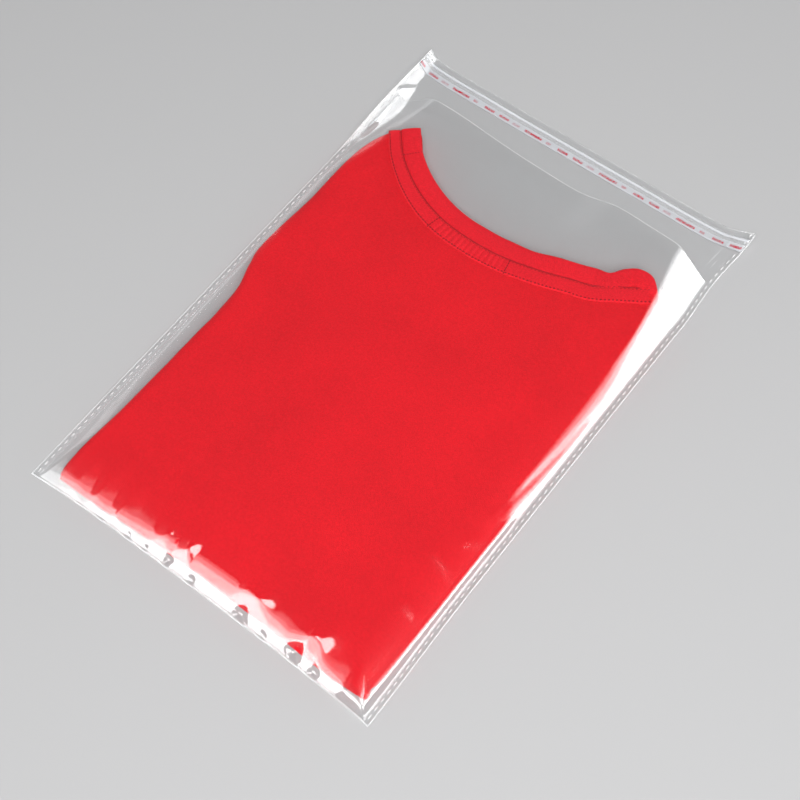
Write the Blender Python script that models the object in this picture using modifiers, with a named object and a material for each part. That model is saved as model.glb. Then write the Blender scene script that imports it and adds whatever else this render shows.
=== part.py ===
"""Clear self-seal bag, lying filled with one folded T-shirt, its flap open and its release strip still on.

Frame: +X across the bag, +Y from the bottom fold to the flap, +Z up, z = 0 the surface it lies on.
The origin is under the middle of the bag. Metres.
"""

import math

import bmesh
import bpy
from mathutils import Vector

MM = 0.001

# Bag: one web of film, folded at the bottom, welded down both sides, cut straight at the mouth
BAG_WIDTH = 252 * MM
POCKET_LENGTH = 344 * MM  # bottom fold to mouth, as the filled bag lies
FLAP_LENGTH = 41 * MM
FILM_THICKNESS = 0.12 * MM
CORNER_OUT = 3.0 * MM  # the four corners reach this far past the drawn-in edges between them
EDGE_SQUARENESS = 3  # power of the bottom and mouth edges' bow: the higher, the tighter the corners
END_SQUARENESS = 8  # the same for the flap's end
WAIST = 1.2 * MM  # each side is drawn in this far by the filling
WAIST_RUN = 96.0 * MM  # over this length from either end of the bag
MOUTH_BOW = 2.7 * MM  # the mouth edge lies this much further out in its middle than at the seams

# Side welds: a fused margin outside the pocket, with a row of pressed dashes along it
WELD_MARGIN = 4.0 * MM
DASH_INSET = 2.6 * MM
DASH_WIDTH = 0.9 * MM
DASH_LENGTH = 3.6 * MM
DASH_GAP = 2.0 * MM
DASH_PROUD = 0.15 * MM
DASH_ROOT = 0.08 * MM  # how deep a dash is fused into the film
SEAM_LIFT = 2.2 * MM  # the seams hang this far above the table along the filling
SEAM_LIFT_RUN = 90.0 * MM
CORNER_CURL = 6.0 * MM  # the flap's free corners curl up
CORNER_CURL_WIDTH = 20.0 * MM

# Closure: adhesive near the flap's end, under a release strip that is wider than it
LINER_WIDTH = 10.0 * MM
LINER_THICKNESS = 0.12 * MM
LINER_FROM_END = 4.5 * MM
ADHESIVE_WIDTH = 5.0 * MM
ADHESIVE_THICKNESS = 0.12 * MM
ADHESIVE_FROM_END = 5.5 * MM
STRIP_END_GAP = 1.0 * MM  # both strips stop this short of the cut sides

# T-shirt, folded to fit the pocket: its room to the film on each side
ROOM_LEFT = 4.0 * MM
ROOM_RIGHT = 3.2 * MM
ROOM_BOTTOM = 4.0 * MM
ROOM_MOUTH = 13.0 * MM  # shoulder tip to the mouth
SHIRT_THICKNESS = 11.6 * MM
SHIRT_CROWN = 0.8 * MM
EDGE_ROUND = 6.5 * MM
FOLD_LAYERS = 3
FOLD_GROOVE = 1.1 * MM
WIDE_FROM = 0.10  # the film's slopes follow the shirt's sides between these shares of its length
WIDE_TO = 0.86
CORE_FROM = 0.25  # the shirt's edge is rounded towards its middle line, between these shares
CORE_TO = 0.60
CROWN_AT = 0.45  # share of its length where the shirt is highest

# Neckline: a ribbed band along the scoop between the shoulder tips
RIB_WIDTH = 11.0 * MM
RIB_THICKNESS = 2.6 * MM
RIB_PROUD = 0.5 * MM
RIB_SQUARENESS = 2.0  # power of the band's section: 1 is an ellipse, higher is flatter with tighter edges
RIB_FULLNESS = 1.25

# Fits
CLEARANCE = 0.3 * MM
FILM_ROOM = 0.9 * MM  # the front panel rides this far over the shirt
SLOPE_SIDE = 4.9 * MM  # past the shirt's edge, the film still climbs this far over its sides
SLOPE_BOTTOM = 5.8 * MM  # and this far over its bottom edge
MOUTH_RISE = 7.0 * MM  # how far the mouth's two humps stand above the rest of the front panel
HUMP_RUN = 85.0 * MM  # the humps grow over this length up to the mouth
MOUTH_RUN = 66.0 * MM  # the side slopes widen over this length up to the mouth, by the next two sizes
MOUTH_SLOPE_LEFT = 7.0 * MM
MOUTH_SLOPE_RIGHT = 12.0 * MM

# The open mouth's humps and the dip between them: middle and half width as shares of the pocket's half
# width, height as a share of the rise. The right hump is a step that stays high up to the seam.
HUMP_LEFT = (-0.74, 0.62, 1.15)
HUMP_RIGHT = (0.46, 0.30, 1.0)
HUMP_DIP = (0.12, 0.35, -0.25)

# Shirt outline, as shares of its folded width and length, from the bottom left corner round to the
# left shoulder. The scoop between the shoulders is the neckline below.
SIDE_RIGHT = ((0.955, 0.006), (0.992, 0.035), (1.0, 0.10), (0.998, 0.35), (1.0, 0.62), (0.997, 0.86))
SHOULDER_RIGHT = ((0.985, 0.915), (0.945, 0.955), (0.905, 0.982))
SHOULDER_LEFT = ((0.085, 0.990), (0.052, 0.960), (0.030, 0.918))
SIDE_LEFT = ((0.014, 0.86), (0.012, 0.74), (0.0, 0.60), (0.012, 0.55), (0.038, 0.47), (0.038, 0.30))
BOTTOM_LEFT = ((0.030, 0.08), (0.038, 0.012), (0.075, 0.0), (0.50, 0.010))
NECK_EDGE = (
    (0.108, 0.984),
    (0.175, 0.939),
    (0.262, 0.902),
    (0.360, 0.882),
    (0.455, 0.876),
    (0.545, 0.881),
    (0.640, 0.897),
    (0.715, 0.915),
    (0.765, 0.925),
    (0.800, 0.945),
    (0.845, 0.957),
    (0.885, 0.962),
)

# Puckers where the front panel is gathered over the shirt's bottom edge: place across the bag as a
# share of its width, half width and height
PUCKERS = (
    (-0.36, 7.0 * MM, 0.9 * MM),
    (-0.25, 6.0 * MM, 1.1 * MM),
    (-0.16, 7.0 * MM, 1.6 * MM),
    (-0.06, 8.0 * MM, 2.4 * MM),
    (0.05, 6.0 * MM, 1.1 * MM),
    (0.145, 8.0 * MM, 3.2 * MM),
    (0.30, 9.0 * MM, 3.2 * MM),
    (0.40, 6.0 * MM, 1.3 * MM),
)
PUCKER_REACH = 24.0 * MM
PUCKER_GROW = 6.0 * MM  # a ridge reaches its height this far inside the fold
PUCKER_FADE = 17.0 * MM  # and falls away over this length at its inner end

# Facets
PANEL_COLUMNS = 18
PANEL_ROWS = 18
LIFT_STEPS = 2
SLOPE_STEPS = 3
FOLD_STEPS = 4
COLUMN_GAP = 4 * MM
SLOPE_WIDTH = 18 * MM
FLAT_ANGLE = 0.001
FLAP_ROWS = 6
OUTLINE_STEPS = 3
CROWN_RINGS = 4
LAYER_STEPS = 3
RIB_STATIONS = 44
RIB_SIDES = 12

FILM_COLOUR = (0.86, 0.89, 0.90, 0.25)
ADHESIVE_COLOUR = (0.80, 0.82, 0.80, 0.5)
LINER_COLOUR = (0.88, 0.89, 0.90, 0.7)
SHIRT_COLOUR = (0.76, 0.013, 0.028, 1.0)
RIB_COLOUR = (0.80, 0.018, 0.036, 1.0)

TOTAL_LENGTH = POCKET_LENGTH + FLAP_LENGTH
BOTTOM_Y = -TOTAL_LENGTH / 2
MOUTH_Y = BOTTOM_Y + POCKET_LENGTH
END_Y = TOTAL_LENGTH / 2
POCKET_HALF = BAG_WIDTH / 2 - WELD_MARGIN
SHIRT_Z = FILM_THICKNESS + CLEARANCE
SHIRT_TOP = SHIRT_Z + SHIRT_THICKNESS + SHIRT_CROWN
PANEL_Z = SHIRT_TOP + RIB_PROUD + FILM_ROOM
LIFT_WIDTH = min(ROOM_LEFT, ROOM_RIGHT) + FOLD_GROOVE  # from the weld to the shirt's underside


def ease(t):
    """0 to 1 with level ends."""
    t = min(1.0, max(0.0, t))
    return t * t * (3 - 2 * t)


def bump(t):
    """1 at t = 0, falling to 0 at t = -1 and 1."""
    return ease(1 - abs(t))


def spline(points, steps, closed=False):
    """Points of a smooth curve through the given ones."""
    count = len(points)
    line = []
    for i in range(count if closed else count - 1):
        if closed:
            a, b, c, d = (points[(i + k) % count] for k in (-1, 0, 1, 2))
        else:
            a, b, c, d = (points[min(max(i + k, 0), count - 1)] for k in (-1, 0, 1, 2))
        for k in range(steps):
            t = k / steps
            line.append(
                tuple(
                    0.5
                    * (
                        2 * q
                        + (r - p) * t
                        + (2 * p - 5 * q + 4 * r - s) * t * t
                        + (3 * q - p - 3 * r + s) * t * t * t
                    )
                    for p, q, r, s in zip(a, b, c, d)
                )
            )
    if not closed:
        line.append(tuple(points[-1]))
    return line


def side_x(y):
    """Half width of the bag: drawn in along the filling, full at the corners."""
    return BAG_WIDTH / 2 - WAIST * ease((y - BOTTOM_Y) / WAIST_RUN) * ease((END_Y - y) / WAIST_RUN)


def bottom_y(x):
    return BOTTOM_Y + CORNER_OUT * (1 - abs(2 * x / BAG_WIDTH) ** EDGE_SQUARENESS)


def mouth_y(x):
    return MOUTH_Y - MOUTH_BOW * abs(x / POCKET_HALF) ** EDGE_SQUARENESS


def flap_end_y(x):
    return END_Y - CORNER_OUT * (1 - abs(2 * x / BAG_WIDTH) ** END_SQUARENESS)


def back_z(x, y):
    """Middle of the back panel and flap above the table: flat, with lifted seams and curled corners."""
    near_side = ease(1 - (side_x(y) - WELD_MARGIN - abs(x)) / LIFT_WIDTH)
    filled = ease((y - BOTTOM_Y) / SEAM_LIFT_RUN) * ease((MOUTH_Y + FLAP_LENGTH / 2 - y) / SEAM_LIFT_RUN)
    near_end = max(0.0, (y - MOUTH_Y) / FLAP_LENGTH) ** 2
    corner = ease(1 - (side_x(y) - abs(x)) / CORNER_CURL_WIDTH)
    return FILM_THICKNESS / 2 + SEAM_LIFT * near_side * filled + CORNER_CURL * corner * near_end


def shirt_box():
    """Lowest and highest x and y of the folded shirt."""
    left = -POCKET_HALF + WAIST + ROOM_LEFT
    right = POCKET_HALF - WAIST - ROOM_RIGHT
    return left, right, BOTTOM_Y + CORNER_OUT + ROOM_BOTTOM, MOUTH_Y - ROOM_MOUTH


def in_box(share):
    left, right, low, high = shirt_box()
    return left + share[0] * (right - left), low + share[1] * (high - low)


def shirt_outline():
    """Closed outline of the folded shirt, anticlockwise from above."""
    neck = tuple(reversed(NECK_EDGE))
    points = SIDE_RIGHT + SHOULDER_RIGHT + neck + SHOULDER_LEFT + SIDE_LEFT + BOTTOM_LEFT
    return spline([in_box(p) for p in points], OUTLINE_STEPS, closed=True)


def reach_at(outline, y):
    """Lowest and highest x of the outline at y, held level past its ends."""
    left, right, low, high = shirt_box()
    y = min(max(y, low + WIDE_FROM * (high - low)), low + WIDE_TO * (high - low))
    found = []
    for (x0, y0), (x1, y1) in zip(outline, outline[1:] + outline[:1]):
        if (y0 - y) * (y1 - y) <= 0 and y0 != y1:
            found.append(x0 + (x1 - x0) * (y - y0) / (y1 - y0))
    return min(found), max(found)


def climb(d, width):
    """Rise of the front panel from its weld, d inside it: steep at the weld, level at the top."""
    t = min(1.0, max(0.0, d / width))
    return 1 - (1 - t) ** 2


def panel_height(x, y):
    """Height of the front panel's flat top: it rises in two humps at the mouth."""
    u = x / POCKET_HALF
    rise = 0.0
    for middle, half, height in (HUMP_LEFT, HUMP_DIP):
        rise += height * bump((u - middle) / half)
    middle, half, height = HUMP_RIGHT
    rise += height * ease((u - middle) / half + 1)
    return PANEL_Z + MOUTH_RISE * rise * ease((y - MOUTH_Y) / HUMP_RUN + 1)


def puckers(x, d):
    """Ridges that run up from the bottom fold and fade out, d inside it."""
    total = 0.0
    for place, half, height in PUCKERS:
        ridge = max(0.0, 1 - abs(x - place * BAG_WIDTH) / half)
        total += height * ridge
    return total * ease(d / PUCKER_GROW) * ease((PUCKER_REACH - d) / PUCKER_FADE)


def front_z(x, y, outline):
    weld = side_x(y) - WELD_MARGIN
    left, right = reach_at(outline, y)
    near_mouth = ease(1 - (MOUTH_Y - y) / MOUTH_RUN)
    left_width = left + weld + SLOPE_SIDE + MOUTH_SLOPE_LEFT * near_mouth
    right_width = weld - right + SLOPE_SIDE + MOUTH_SLOPE_RIGHT * near_mouth
    bottom_width = ROOM_BOTTOM + SLOPE_BOTTOM
    d = y - bottom_y(x)
    if abs(x) >= weld:
        return back_z(x, y)
    rise = climb(x + weld, left_width) * climb(weld - x, right_width) * climb(d, bottom_width)
    return back_z(x, y) + (panel_height(x, y) - FILM_THICKNESS / 2) * rise + puckers(x, d) * rise


def columns():
    """Shares across the pocket from -1 to 1, closer where the film lifts and slopes."""
    climb_width = SLOPE_WIDTH - LIFT_WIDTH
    edge = [LIFT_WIDTH * k / LIFT_STEPS for k in range(LIFT_STEPS)]
    edge += [LIFT_WIDTH + climb_width * k / SLOPE_STEPS for k in range(SLOPE_STEPS)]
    edge = [-1 + d / POCKET_HALF for d in edge]
    flat = 1 - SLOPE_WIDTH / POCKET_HALF
    creases = sorted(
        (place * BAG_WIDTH + side * half) / POCKET_HALF
        for place, half, height in PUCKERS
        for side in (-1, 0, 1)
    )
    even = [flat * (2 * k / PANEL_COLUMNS - 1) for k in range(PANEL_COLUMNS + 1)]
    kept = []
    for u in creases + even:
        if abs(u) <= flat and all(abs(u - other) > COLUMN_GAP / POCKET_HALF for other in kept):
            kept.append(u)
    return edge + sorted(kept) + [-e for e in reversed(edge)]


def rows():
    """Shares along the pocket from 0 to 1, closer where the panel slopes."""
    slope = SLOPE_WIDTH / POCKET_LENGTH
    edge = [slope * k / FOLD_STEPS for k in range(FOLD_STEPS)]
    return edge + [slope + (1 - slope) * k / PANEL_ROWS for k in range(PANEL_ROWS + 1)]


def link(obj, collection):
    collection.objects.link(obj)
    return obj


def mesh_object(name, bm, collection):
    mesh = bpy.data.meshes.new(name)
    bm.to_mesh(mesh)
    bm.free()
    return link(bpy.data.objects.new(name, mesh), collection)


def applied(obj):
    """Replaces an object's mesh with its evaluated one, modifiers and all."""
    depsgraph = bpy.context.evaluated_depsgraph_get()
    mesh = bpy.data.meshes.new_from_object(obj.evaluated_get(depsgraph))
    obj.modifiers.clear()
    obj.data = mesh
    return obj


def remove(obj):
    bpy.data.objects.remove(obj, do_unlink=True)


def boolean(obj, other, operation):
    """Joins other to obj or cuts it away, for good."""
    modifier = obj.modifiers.new(operation.title(), "BOOLEAN")
    modifier.operation = operation
    modifier.object = other
    applied(obj)
    remove(other)
    return obj


def grid(points):
    """An open surface through rows of points."""
    bm = bmesh.new()
    verts = [[bm.verts.new(point) for point in row] for row in points]
    for low, high in zip(verts, verts[1:]):
        for a, b, c, d in zip(low, low[1:], high[1:], high):
            bm.faces.new((a, b, c, d))
    bm.normal_update()
    return bm


def slab(name, points, thickness, offset, collection):
    """A sheet of even thickness along rows of points, with its flat stretches left as large faces."""
    bm = grid(points)
    bmesh.ops.dissolve_limit(bm, angle_limit=FLAT_ANGLE, verts=bm.verts[:], edges=bm.edges[:])
    sheet = mesh_object(name, bm, collection)
    wall = sheet.modifiers.new("Thickness", "SOLIDIFY")
    wall.thickness = thickness
    wall.offset = offset
    return applied(sheet)


def across_bag(y_at, margin):
    """Places across the bag at one row, with y from y_at(x): weld margin, pocket, weld margin."""
    row = []
    for u in columns():
        y = y_at(u * POCKET_HALF)
        row.append((u * (side_x(y) - WELD_MARGIN), y))
    for side, at in ((-1, 0), (1, len(row) + 1)):
        y = y_at(side * BAG_WIDTH / 2)
        row.insert(at, (side * (side_x(y) - WELD_MARGIN + margin), y))
    return row


def along_pocket(v):
    return lambda x: bottom_y(x) + v * (mouth_y(x) - bottom_y(x))


def along_flap(v):
    return lambda x: mouth_y(x) + v * (flap_end_y(x) - mouth_y(x))


def back_panel(collection):
    """Back panel and flap, one sheet from the bottom fold to the flap's end, margins and all."""
    lines = [along_pocket(v) for v in rows()]
    lines += [along_flap((k + 1) / FLAP_ROWS) for k in range(FLAP_ROWS)]
    points = [
        [(x, y, back_z(x, y)) for x, y in across_bag(line, WELD_MARGIN)]
        for line in lines
    ]
    return slab("back_panel", points, FILM_THICKNESS, 0, collection)


def front_panel(outline, collection):
    """Front panel: it lies fused into the margins and the fold, and climbs over the shirt between."""
    fused = FILM_THICKNESS / 2
    points = [
        [
            (x, y, front_z(x, y, outline) + fused)
            for x, y in across_bag(along_pocket(v), WELD_MARGIN - FILM_THICKNESS)
        ]
        for v in rows()
    ]
    return slab("front_panel", points, FILM_THICKNESS, 0, collection)


def film_top(film, x, y):
    """The film's upper face at a place on its weld margins."""
    hit, place, normal, face = film.ray_cast(Vector((x, y, 1.0)), Vector((0, 0, -1)))
    return place


def dash_strip(film, side, collection):
    """One row of pressed dashes as small bars that stand a little proud of the weld margin."""
    bm = bmesh.new()
    pitch = DASH_LENGTH + DASH_GAP
    count = int((TOTAL_LENGTH - 2 * CORNER_OUT - 2 * DASH_GAP) / pitch)
    start = BOTTOM_Y + (TOTAL_LENGTH - count * pitch + DASH_GAP) / 2
    for k in range(count):
        y = start + k * pitch + DASH_LENGTH / 2
        ends = []
        for end in (y - DASH_LENGTH / 2, y + DASH_LENGTH / 2):
            ends.append(film_top(film, side * (side_x(end) - DASH_INSET), end))
        middle = (ends[0] + ends[1]) / 2
        run = ends[1] - ends[0]
        tall = DASH_PROUD + DASH_ROOT
        made = bmesh.ops.create_cube(bm, size=1.0)["verts"]
        bmesh.ops.scale(bm, vec=(DASH_WIDTH, DASH_LENGTH, tall), verts=made)
        turn = Vector((0, 1, 0)).rotation_difference(run).to_matrix()
        bmesh.ops.rotate(bm, verts=made, matrix=turn)
        bmesh.ops.translate(bm, verts=made, vec=middle + Vector((0, 0, tall / 2 - DASH_ROOT)))
    return mesh_object("dashes", bm, collection)


def bag_film(outline, collection, material):
    """The whole web as one body: both panels fused along the margins and the fold, with its dashes."""
    film = back_panel(collection)
    film.name = "bag_film"
    boolean(film, front_panel(outline, collection), "UNION")
    rows_of_dashes = [dash_strip(film, side, collection) for side in (-1, 1)]
    for dashes in rows_of_dashes:
        boolean(film, dashes, "UNION")
    film.data.materials.clear()
    film.data.materials.append(material)
    return film


def strip(name, from_end, width, thickness, gap, collection, material):
    """A thin strip along the flap's end, gap above the film and following its curled corners."""
    half = BAG_WIDTH / 2 - STRIP_END_GAP
    points = []
    for back in (from_end + width, from_end + width / 2, from_end):
        line = []
        for u in columns():
            x = u * half
            y = flap_end_y(x) - back
            line.append((x, y, back_z(x, y) + FILM_THICKNESS / 2 + gap))
        points.append(line)
    obj = slab(name, points, thickness, 1, collection)
    obj.data.materials.append(material)
    return obj


def layer_profile():
    """Inset and height of the shirt's edge from bottom to top: rounded folds, one for each layer."""
    profile = []
    steps = FOLD_LAYERS * LAYER_STEPS
    for k in range(steps + 1):
        t = k / steps
        lobe = abs(math.sin(math.pi * FOLD_LAYERS * t))
        round_over = EDGE_ROUND * (1 - math.sqrt(max(0.0, 1 - t ** 3)))
        profile.append((round_over + FOLD_GROOVE * (1 - lobe), SHIRT_THICKNESS * t))
    return profile


def inset_point(point, inset):
    """A point of the outline moved inwards, towards the nearest of the shirt's middle line."""
    left, right, low, high = shirt_box()
    length = high - low
    y = min(max(point[1], low + CORE_FROM * length), low + CORE_TO * length)
    here = Vector(point)
    return here + (Vector(((left + right) / 2, y)) - here).normalized() * inset


def tshirt_body(outline, collection, material):
    """The folded stack: fold edges lofted up the outline, then rings that close over a soft crown."""
    bm = bmesh.new()
    profile = layer_profile()
    loops = []
    for inset, height in profile:
        ring = [inset_point(point, inset) for point in outline]
        loops.append([bm.verts.new((p.x, p.y, SHIRT_Z + height)) for p in ring])
    top = [v.co.copy() for v in loops[-1]]
    left, right, low, high = shirt_box()
    middle = Vector(((left + right) / 2, low + CROWN_AT * (high - low), 0))
    for k in range(1, CROWN_RINGS):
        t = k / CROWN_RINGS
        ring = []
        for p in top:
            q = p.lerp(middle, t)
            ring.append(bm.verts.new((q.x, q.y, p.z + SHIRT_CROWN * ease(t))))
        loops.append(ring)
    for low_loop, high_loop in zip(loops, loops[1:]):
        for i in range(len(outline)):
            j = (i + 1) % len(outline)
            bm.faces.new((low_loop[i], low_loop[j], high_loop[j], high_loop[i]))
    peak = bm.verts.new((middle.x, middle.y, SHIRT_TOP))
    for i in range(len(outline)):
        bm.faces.new((loops[-1][i], loops[-1][(i + 1) % len(outline)], peak))
    bm.faces.new(list(reversed(loops[0])))
    body = mesh_object("tshirt_body", bm, collection)
    seat = rib_solid("rib_seat", CLEARANCE, collection)
    boolean(body, seat, "DIFFERENCE")
    body.data.materials.clear()
    body.data.materials.append(material)
    return body


def rib_solid(name, grow, collection):
    """The neck band: a rounded flat section swept along the scoop, grown on all sides by grow."""
    bm = bmesh.new()
    line = spline([in_box(p) for p in NECK_EDGE], RIB_STATIONS // (len(NECK_EDGE) - 1))
    top = SHIRT_Z + SHIRT_THICKNESS + RIB_PROUD + grow
    rings = []
    count = len(line)
    for i, (x, y) in enumerate(line):
        before, after = Vector(line[max(i - 1, 0)]), Vector(line[min(i + 1, count - 1)])
        along = (after - before).normalized()
        inward = Vector((along.y, -along.x))
        here = Vector((x, y)) - inward * grow
        if i in (0, count - 1):
            here += along * grow * (-1 if i == 0 else 1)
        ring = []
        for k in range(RIB_SIDES):
            angle = 2 * math.pi * k / RIB_SIDES
            across = math.copysign(abs(math.cos(angle)) ** (1 / RIB_SQUARENESS), math.cos(angle))
            up = math.copysign(abs(math.sin(angle)) ** (1 / RIB_FULLNESS), math.sin(angle))
            half = RIB_WIDTH / 2 + grow
            point = here + inward * (half + half * across)
            deep = RIB_THICKNESS / 2 + grow
            ring.append(bm.verts.new((point.x, point.y, top - deep + deep * up)))
        rings.append(ring)
    for low, high in zip(rings, rings[1:]):
        for k in range(RIB_SIDES):
            j = (k + 1) % RIB_SIDES
            bm.faces.new((low[k], low[j], high[j], high[k]))
    bm.faces.new(list(reversed(rings[0])))
    bm.faces.new(rings[-1])
    bmesh.ops.recalc_face_normals(bm, faces=bm.faces[:])
    return mesh_object(name, bm, collection)


def finish(name, colour, roughness, transmission=0.0):
    """A plain Principled finish."""
    material = bpy.data.materials.new(name)
    material.use_nodes = True
    shader = material.node_tree.nodes["Principled BSDF"]
    shader.inputs["Base Color"].default_value = colour[:3] + (1.0,)
    shader.inputs["Roughness"].default_value = roughness
    shader.inputs["Metallic"].default_value = 0.0
    shader.inputs["Transmission Weight"].default_value = transmission
    shader.inputs["Alpha"].default_value = colour[3]
    material.diffuse_color = colour
    return material


def build():
    for obj in list(bpy.data.objects):
        bpy.data.objects.remove(obj, do_unlink=True)
    parts = bpy.data.collections.new("self_seal_bag")
    bpy.context.scene.collection.children.link(parts)
    outline = shirt_outline()
    bag_film(outline, parts, finish("clear_film", FILM_COLOUR, 0.08, 0.6))
    over_film = CLEARANCE
    strip(
        "adhesive_strip",
        ADHESIVE_FROM_END,
        ADHESIVE_WIDTH,
        ADHESIVE_THICKNESS,
        over_film,
        parts,
        finish("adhesive", ADHESIVE_COLOUR, 0.3),
    )
    strip(
        "release_strip",
        LINER_FROM_END,
        LINER_WIDTH,
        LINER_THICKNESS,
        over_film + ADHESIVE_THICKNESS + CLEARANCE,
        parts,
        finish("release_film", LINER_COLOUR, 0.25),
    )
    tshirt_body(outline, parts, finish("red_jersey", SHIRT_COLOUR, 0.85))
    rib = rib_solid("neck_rib", 0.0, parts)
    rib.data.materials.append(finish("red_rib_knit", RIB_COLOUR, 0.85))


build()
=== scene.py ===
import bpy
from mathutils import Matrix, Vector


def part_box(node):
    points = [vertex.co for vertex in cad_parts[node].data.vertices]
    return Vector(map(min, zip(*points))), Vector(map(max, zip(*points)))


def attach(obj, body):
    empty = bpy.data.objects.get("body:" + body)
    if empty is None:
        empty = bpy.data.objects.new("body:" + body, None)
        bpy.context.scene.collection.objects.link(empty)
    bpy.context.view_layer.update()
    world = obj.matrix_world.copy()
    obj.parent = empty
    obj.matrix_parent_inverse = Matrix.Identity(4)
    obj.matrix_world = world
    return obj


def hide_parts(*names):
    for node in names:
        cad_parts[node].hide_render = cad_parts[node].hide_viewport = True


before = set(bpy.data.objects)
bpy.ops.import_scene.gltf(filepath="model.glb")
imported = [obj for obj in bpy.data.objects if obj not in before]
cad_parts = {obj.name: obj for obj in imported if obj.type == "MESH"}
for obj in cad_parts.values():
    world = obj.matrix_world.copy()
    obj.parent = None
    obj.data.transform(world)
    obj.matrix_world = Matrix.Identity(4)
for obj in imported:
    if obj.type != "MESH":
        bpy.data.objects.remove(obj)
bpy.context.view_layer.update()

import math

import bmesh
import bpy
import numpy as np
from mathutils import Matrix, Vector

# Folded T-shirt
# Light cotton jersey, folded to fit the bag with its back side up and its neckline towards the mouth.
# The film draws its edges down, so the height of the film over each place is worked out with it.
MM = 0.001

# The bag's outline on the table: the filling draws its sides in, and its bottom corners stand out a little
bag_low, bag_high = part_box("bag_film")
BAG_WIDTH = bag_high.x - bag_low.x
BOTTOM_Y = bag_low.y
END_Y = bag_high.y
FLAP_LENGTH = 41 * MM
MOUTH_Y = END_Y - FLAP_LENGTH
WELD_MARGIN = 4.0 * MM
CORNER_OUT = 3.0 * MM
WAIST = 1.2 * MM
WAIST_RUN = 96 * MM
POCKET_HALF = BAG_WIDTH / 2 - WELD_MARGIN
FILM = 0.12 * MM


def ease(t):
    """0 to 1 with level ends."""
    t = np.clip(t, 0.0, 1.0)
    return t * t * (3 - 2 * t)


def side_x(y):
    """The bag's half width: the filling draws its sides in."""
    return BAG_WIDTH / 2 - WAIST * ease((y - BOTTOM_Y) / WAIST_RUN) * ease((END_Y - y) / WAIST_RUN)


def bottom_y(x):
    """The line of the fold at the bag's bottom."""
    return BOTTOM_Y + CORNER_OUT * (1 - np.abs(2 * x / BAG_WIDTH) ** 3)


# The back panel and the flap: flat on the table, with lifted seams, a curled right corner and a left edge
# that turns up, given as places along the bag and how wide the turned-up part is there, in mm
SEAM_LIFT = 2.2 * MM
SEAM_LIFT_RUN = 90 * MM
LIFT_WIDTH = 4.3 * MM
CORNER_CURL = 6.0 * MM
CORNER_CURL_WIDTH = 20 * MM
CURL_SLOPE = 0.72
LEFT_CURL = ((92, 0), (106, 4), (122, 10), (140, 14), (151, 13.5), (160, 12), (178, 9), (193, 8))
FLAP_WAVE = 0.7 * MM
FLAP_WAVE_LENGTH = 75 * MM
FLAP_WAVE_START = 12 * MM
FLAP_WAVE_RUN = 30 * MM
RIPPLE_WAVES = 7
RIPPLE_SCALE = 4.5
CURVE_STEPS = 12
CREASE_ROUND = 0.06

# Creases in the film: start, end, height, and half widths at the start and the end, in mm, and for
# some the share of the way at which they are highest
BACK_CREASES = (
    ((116.5, 148), (115, 188), 2.0, 1.7, 1.7, 0.4),
    ((120.5, 149), (121.5, 177), 1.4, 1.3, 1.3, 0.5),
    ((-70, 159), (-54, 168), 0.5, 1.2, 1.6),
    ((-66, 156), (-58, 170), 0.4, 1.0, 1.2),
    ((-112, 168), (-124, 150), 1.0, 2.5, 1.2),
)


def smooth_line(points, steps, closed=False):
    """A smooth curve through the points, as an array of places."""
    points = np.array(points, float)
    count = len(points)
    line = []
    for i in range(count if closed else count - 1):
        near = [i + k for k in (-1, 0, 1, 2)]
        if closed:
            a, b, c, d = (points[k % count] for k in near)
        else:
            a, b, c, d = (points[min(max(k, 0), count - 1)] for k in near)
        t = np.arange(steps)[:, None] / steps
        stretch = 2 * b + (c - a) * t + (2 * a - 5 * b + 4 * c - d) * t**2
        stretch = stretch + (3 * b - a - 3 * c + d) * t**3
        line.append(0.5 * stretch)
    if not closed:
        line.append(points[-1:])
    return np.concatenate(line)


def smooth_table(table, column, at):
    """A table's value at each place, in metres, on a smooth curve through its rows."""
    line = smooth_line(table, CURVE_STEPS) * MM
    return np.interp(at, line[:, 0], line[:, column])


def ripple(x, y, size, seed):
    """Uneven soft waves of about this length, mostly between -1 and 1."""
    rng = np.random.default_rng(seed)
    total = 0.0
    for turn, length, phase in rng.uniform((0, 0.7, 0), (2 * math.pi, 1.5, 2 * math.pi), (RIPPLE_WAVES, 3)):
        along = x * math.cos(turn) + y * math.sin(turn)
        total = total + np.sin(2 * math.pi * along / (size * length) + phase)
    return total / RIPPLE_SCALE


def crease(x, y, start, end, height, half_start, half_end, peak=0.8):
    """A tented crease: it grows from its start to its peak's share of the way, then falls to its end."""
    start, end = np.array(start) * MM, np.array(end) * MM
    run = end - start
    length = math.hypot(*run)
    along = ((x - start[0]) * run[0] + (y - start[1]) * run[1]) / length**2
    across = ((x - start[0]) * run[1] - (y - start[1]) * run[0]) / length
    half = (half_start + (half_end - half_start) * np.clip(along, 0, 1)) * MM
    tent = np.maximum(0.0, 1 - np.sqrt(across**2 + (CREASE_ROUND * half) ** 2) / half)
    return height * MM * tent * np.clip(along / peak, 0, 1) * ease((1 - along) / (1 - peak))


def left_curl(x, y):
    """How far the back film turns up towards its left edge, beside the mouth and along the flap."""
    width = smooth_table(LEFT_CURL, 1, y)
    inside = side_x(y) + x
    return CURL_SLOPE * np.maximum(0.0, width - inside)


def seam_lift(y):
    """How high the shirt's bulge lifts the welded seams."""
    from_fold = ease((y - BOTTOM_Y) / SEAM_LIFT_RUN)
    from_flap = ease((MOUTH_Y + FLAP_LENGTH / 2 - y) / SEAM_LIFT_RUN)
    return SEAM_LIFT * from_fold * from_flap


def beside_seam(x, y):
    """1 at the welds and outside them, falling to 0 where the back panel lies on the table."""
    return ease(1 - (side_x(y) - WELD_MARGIN - np.abs(x)) / LIFT_WIDTH)


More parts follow.
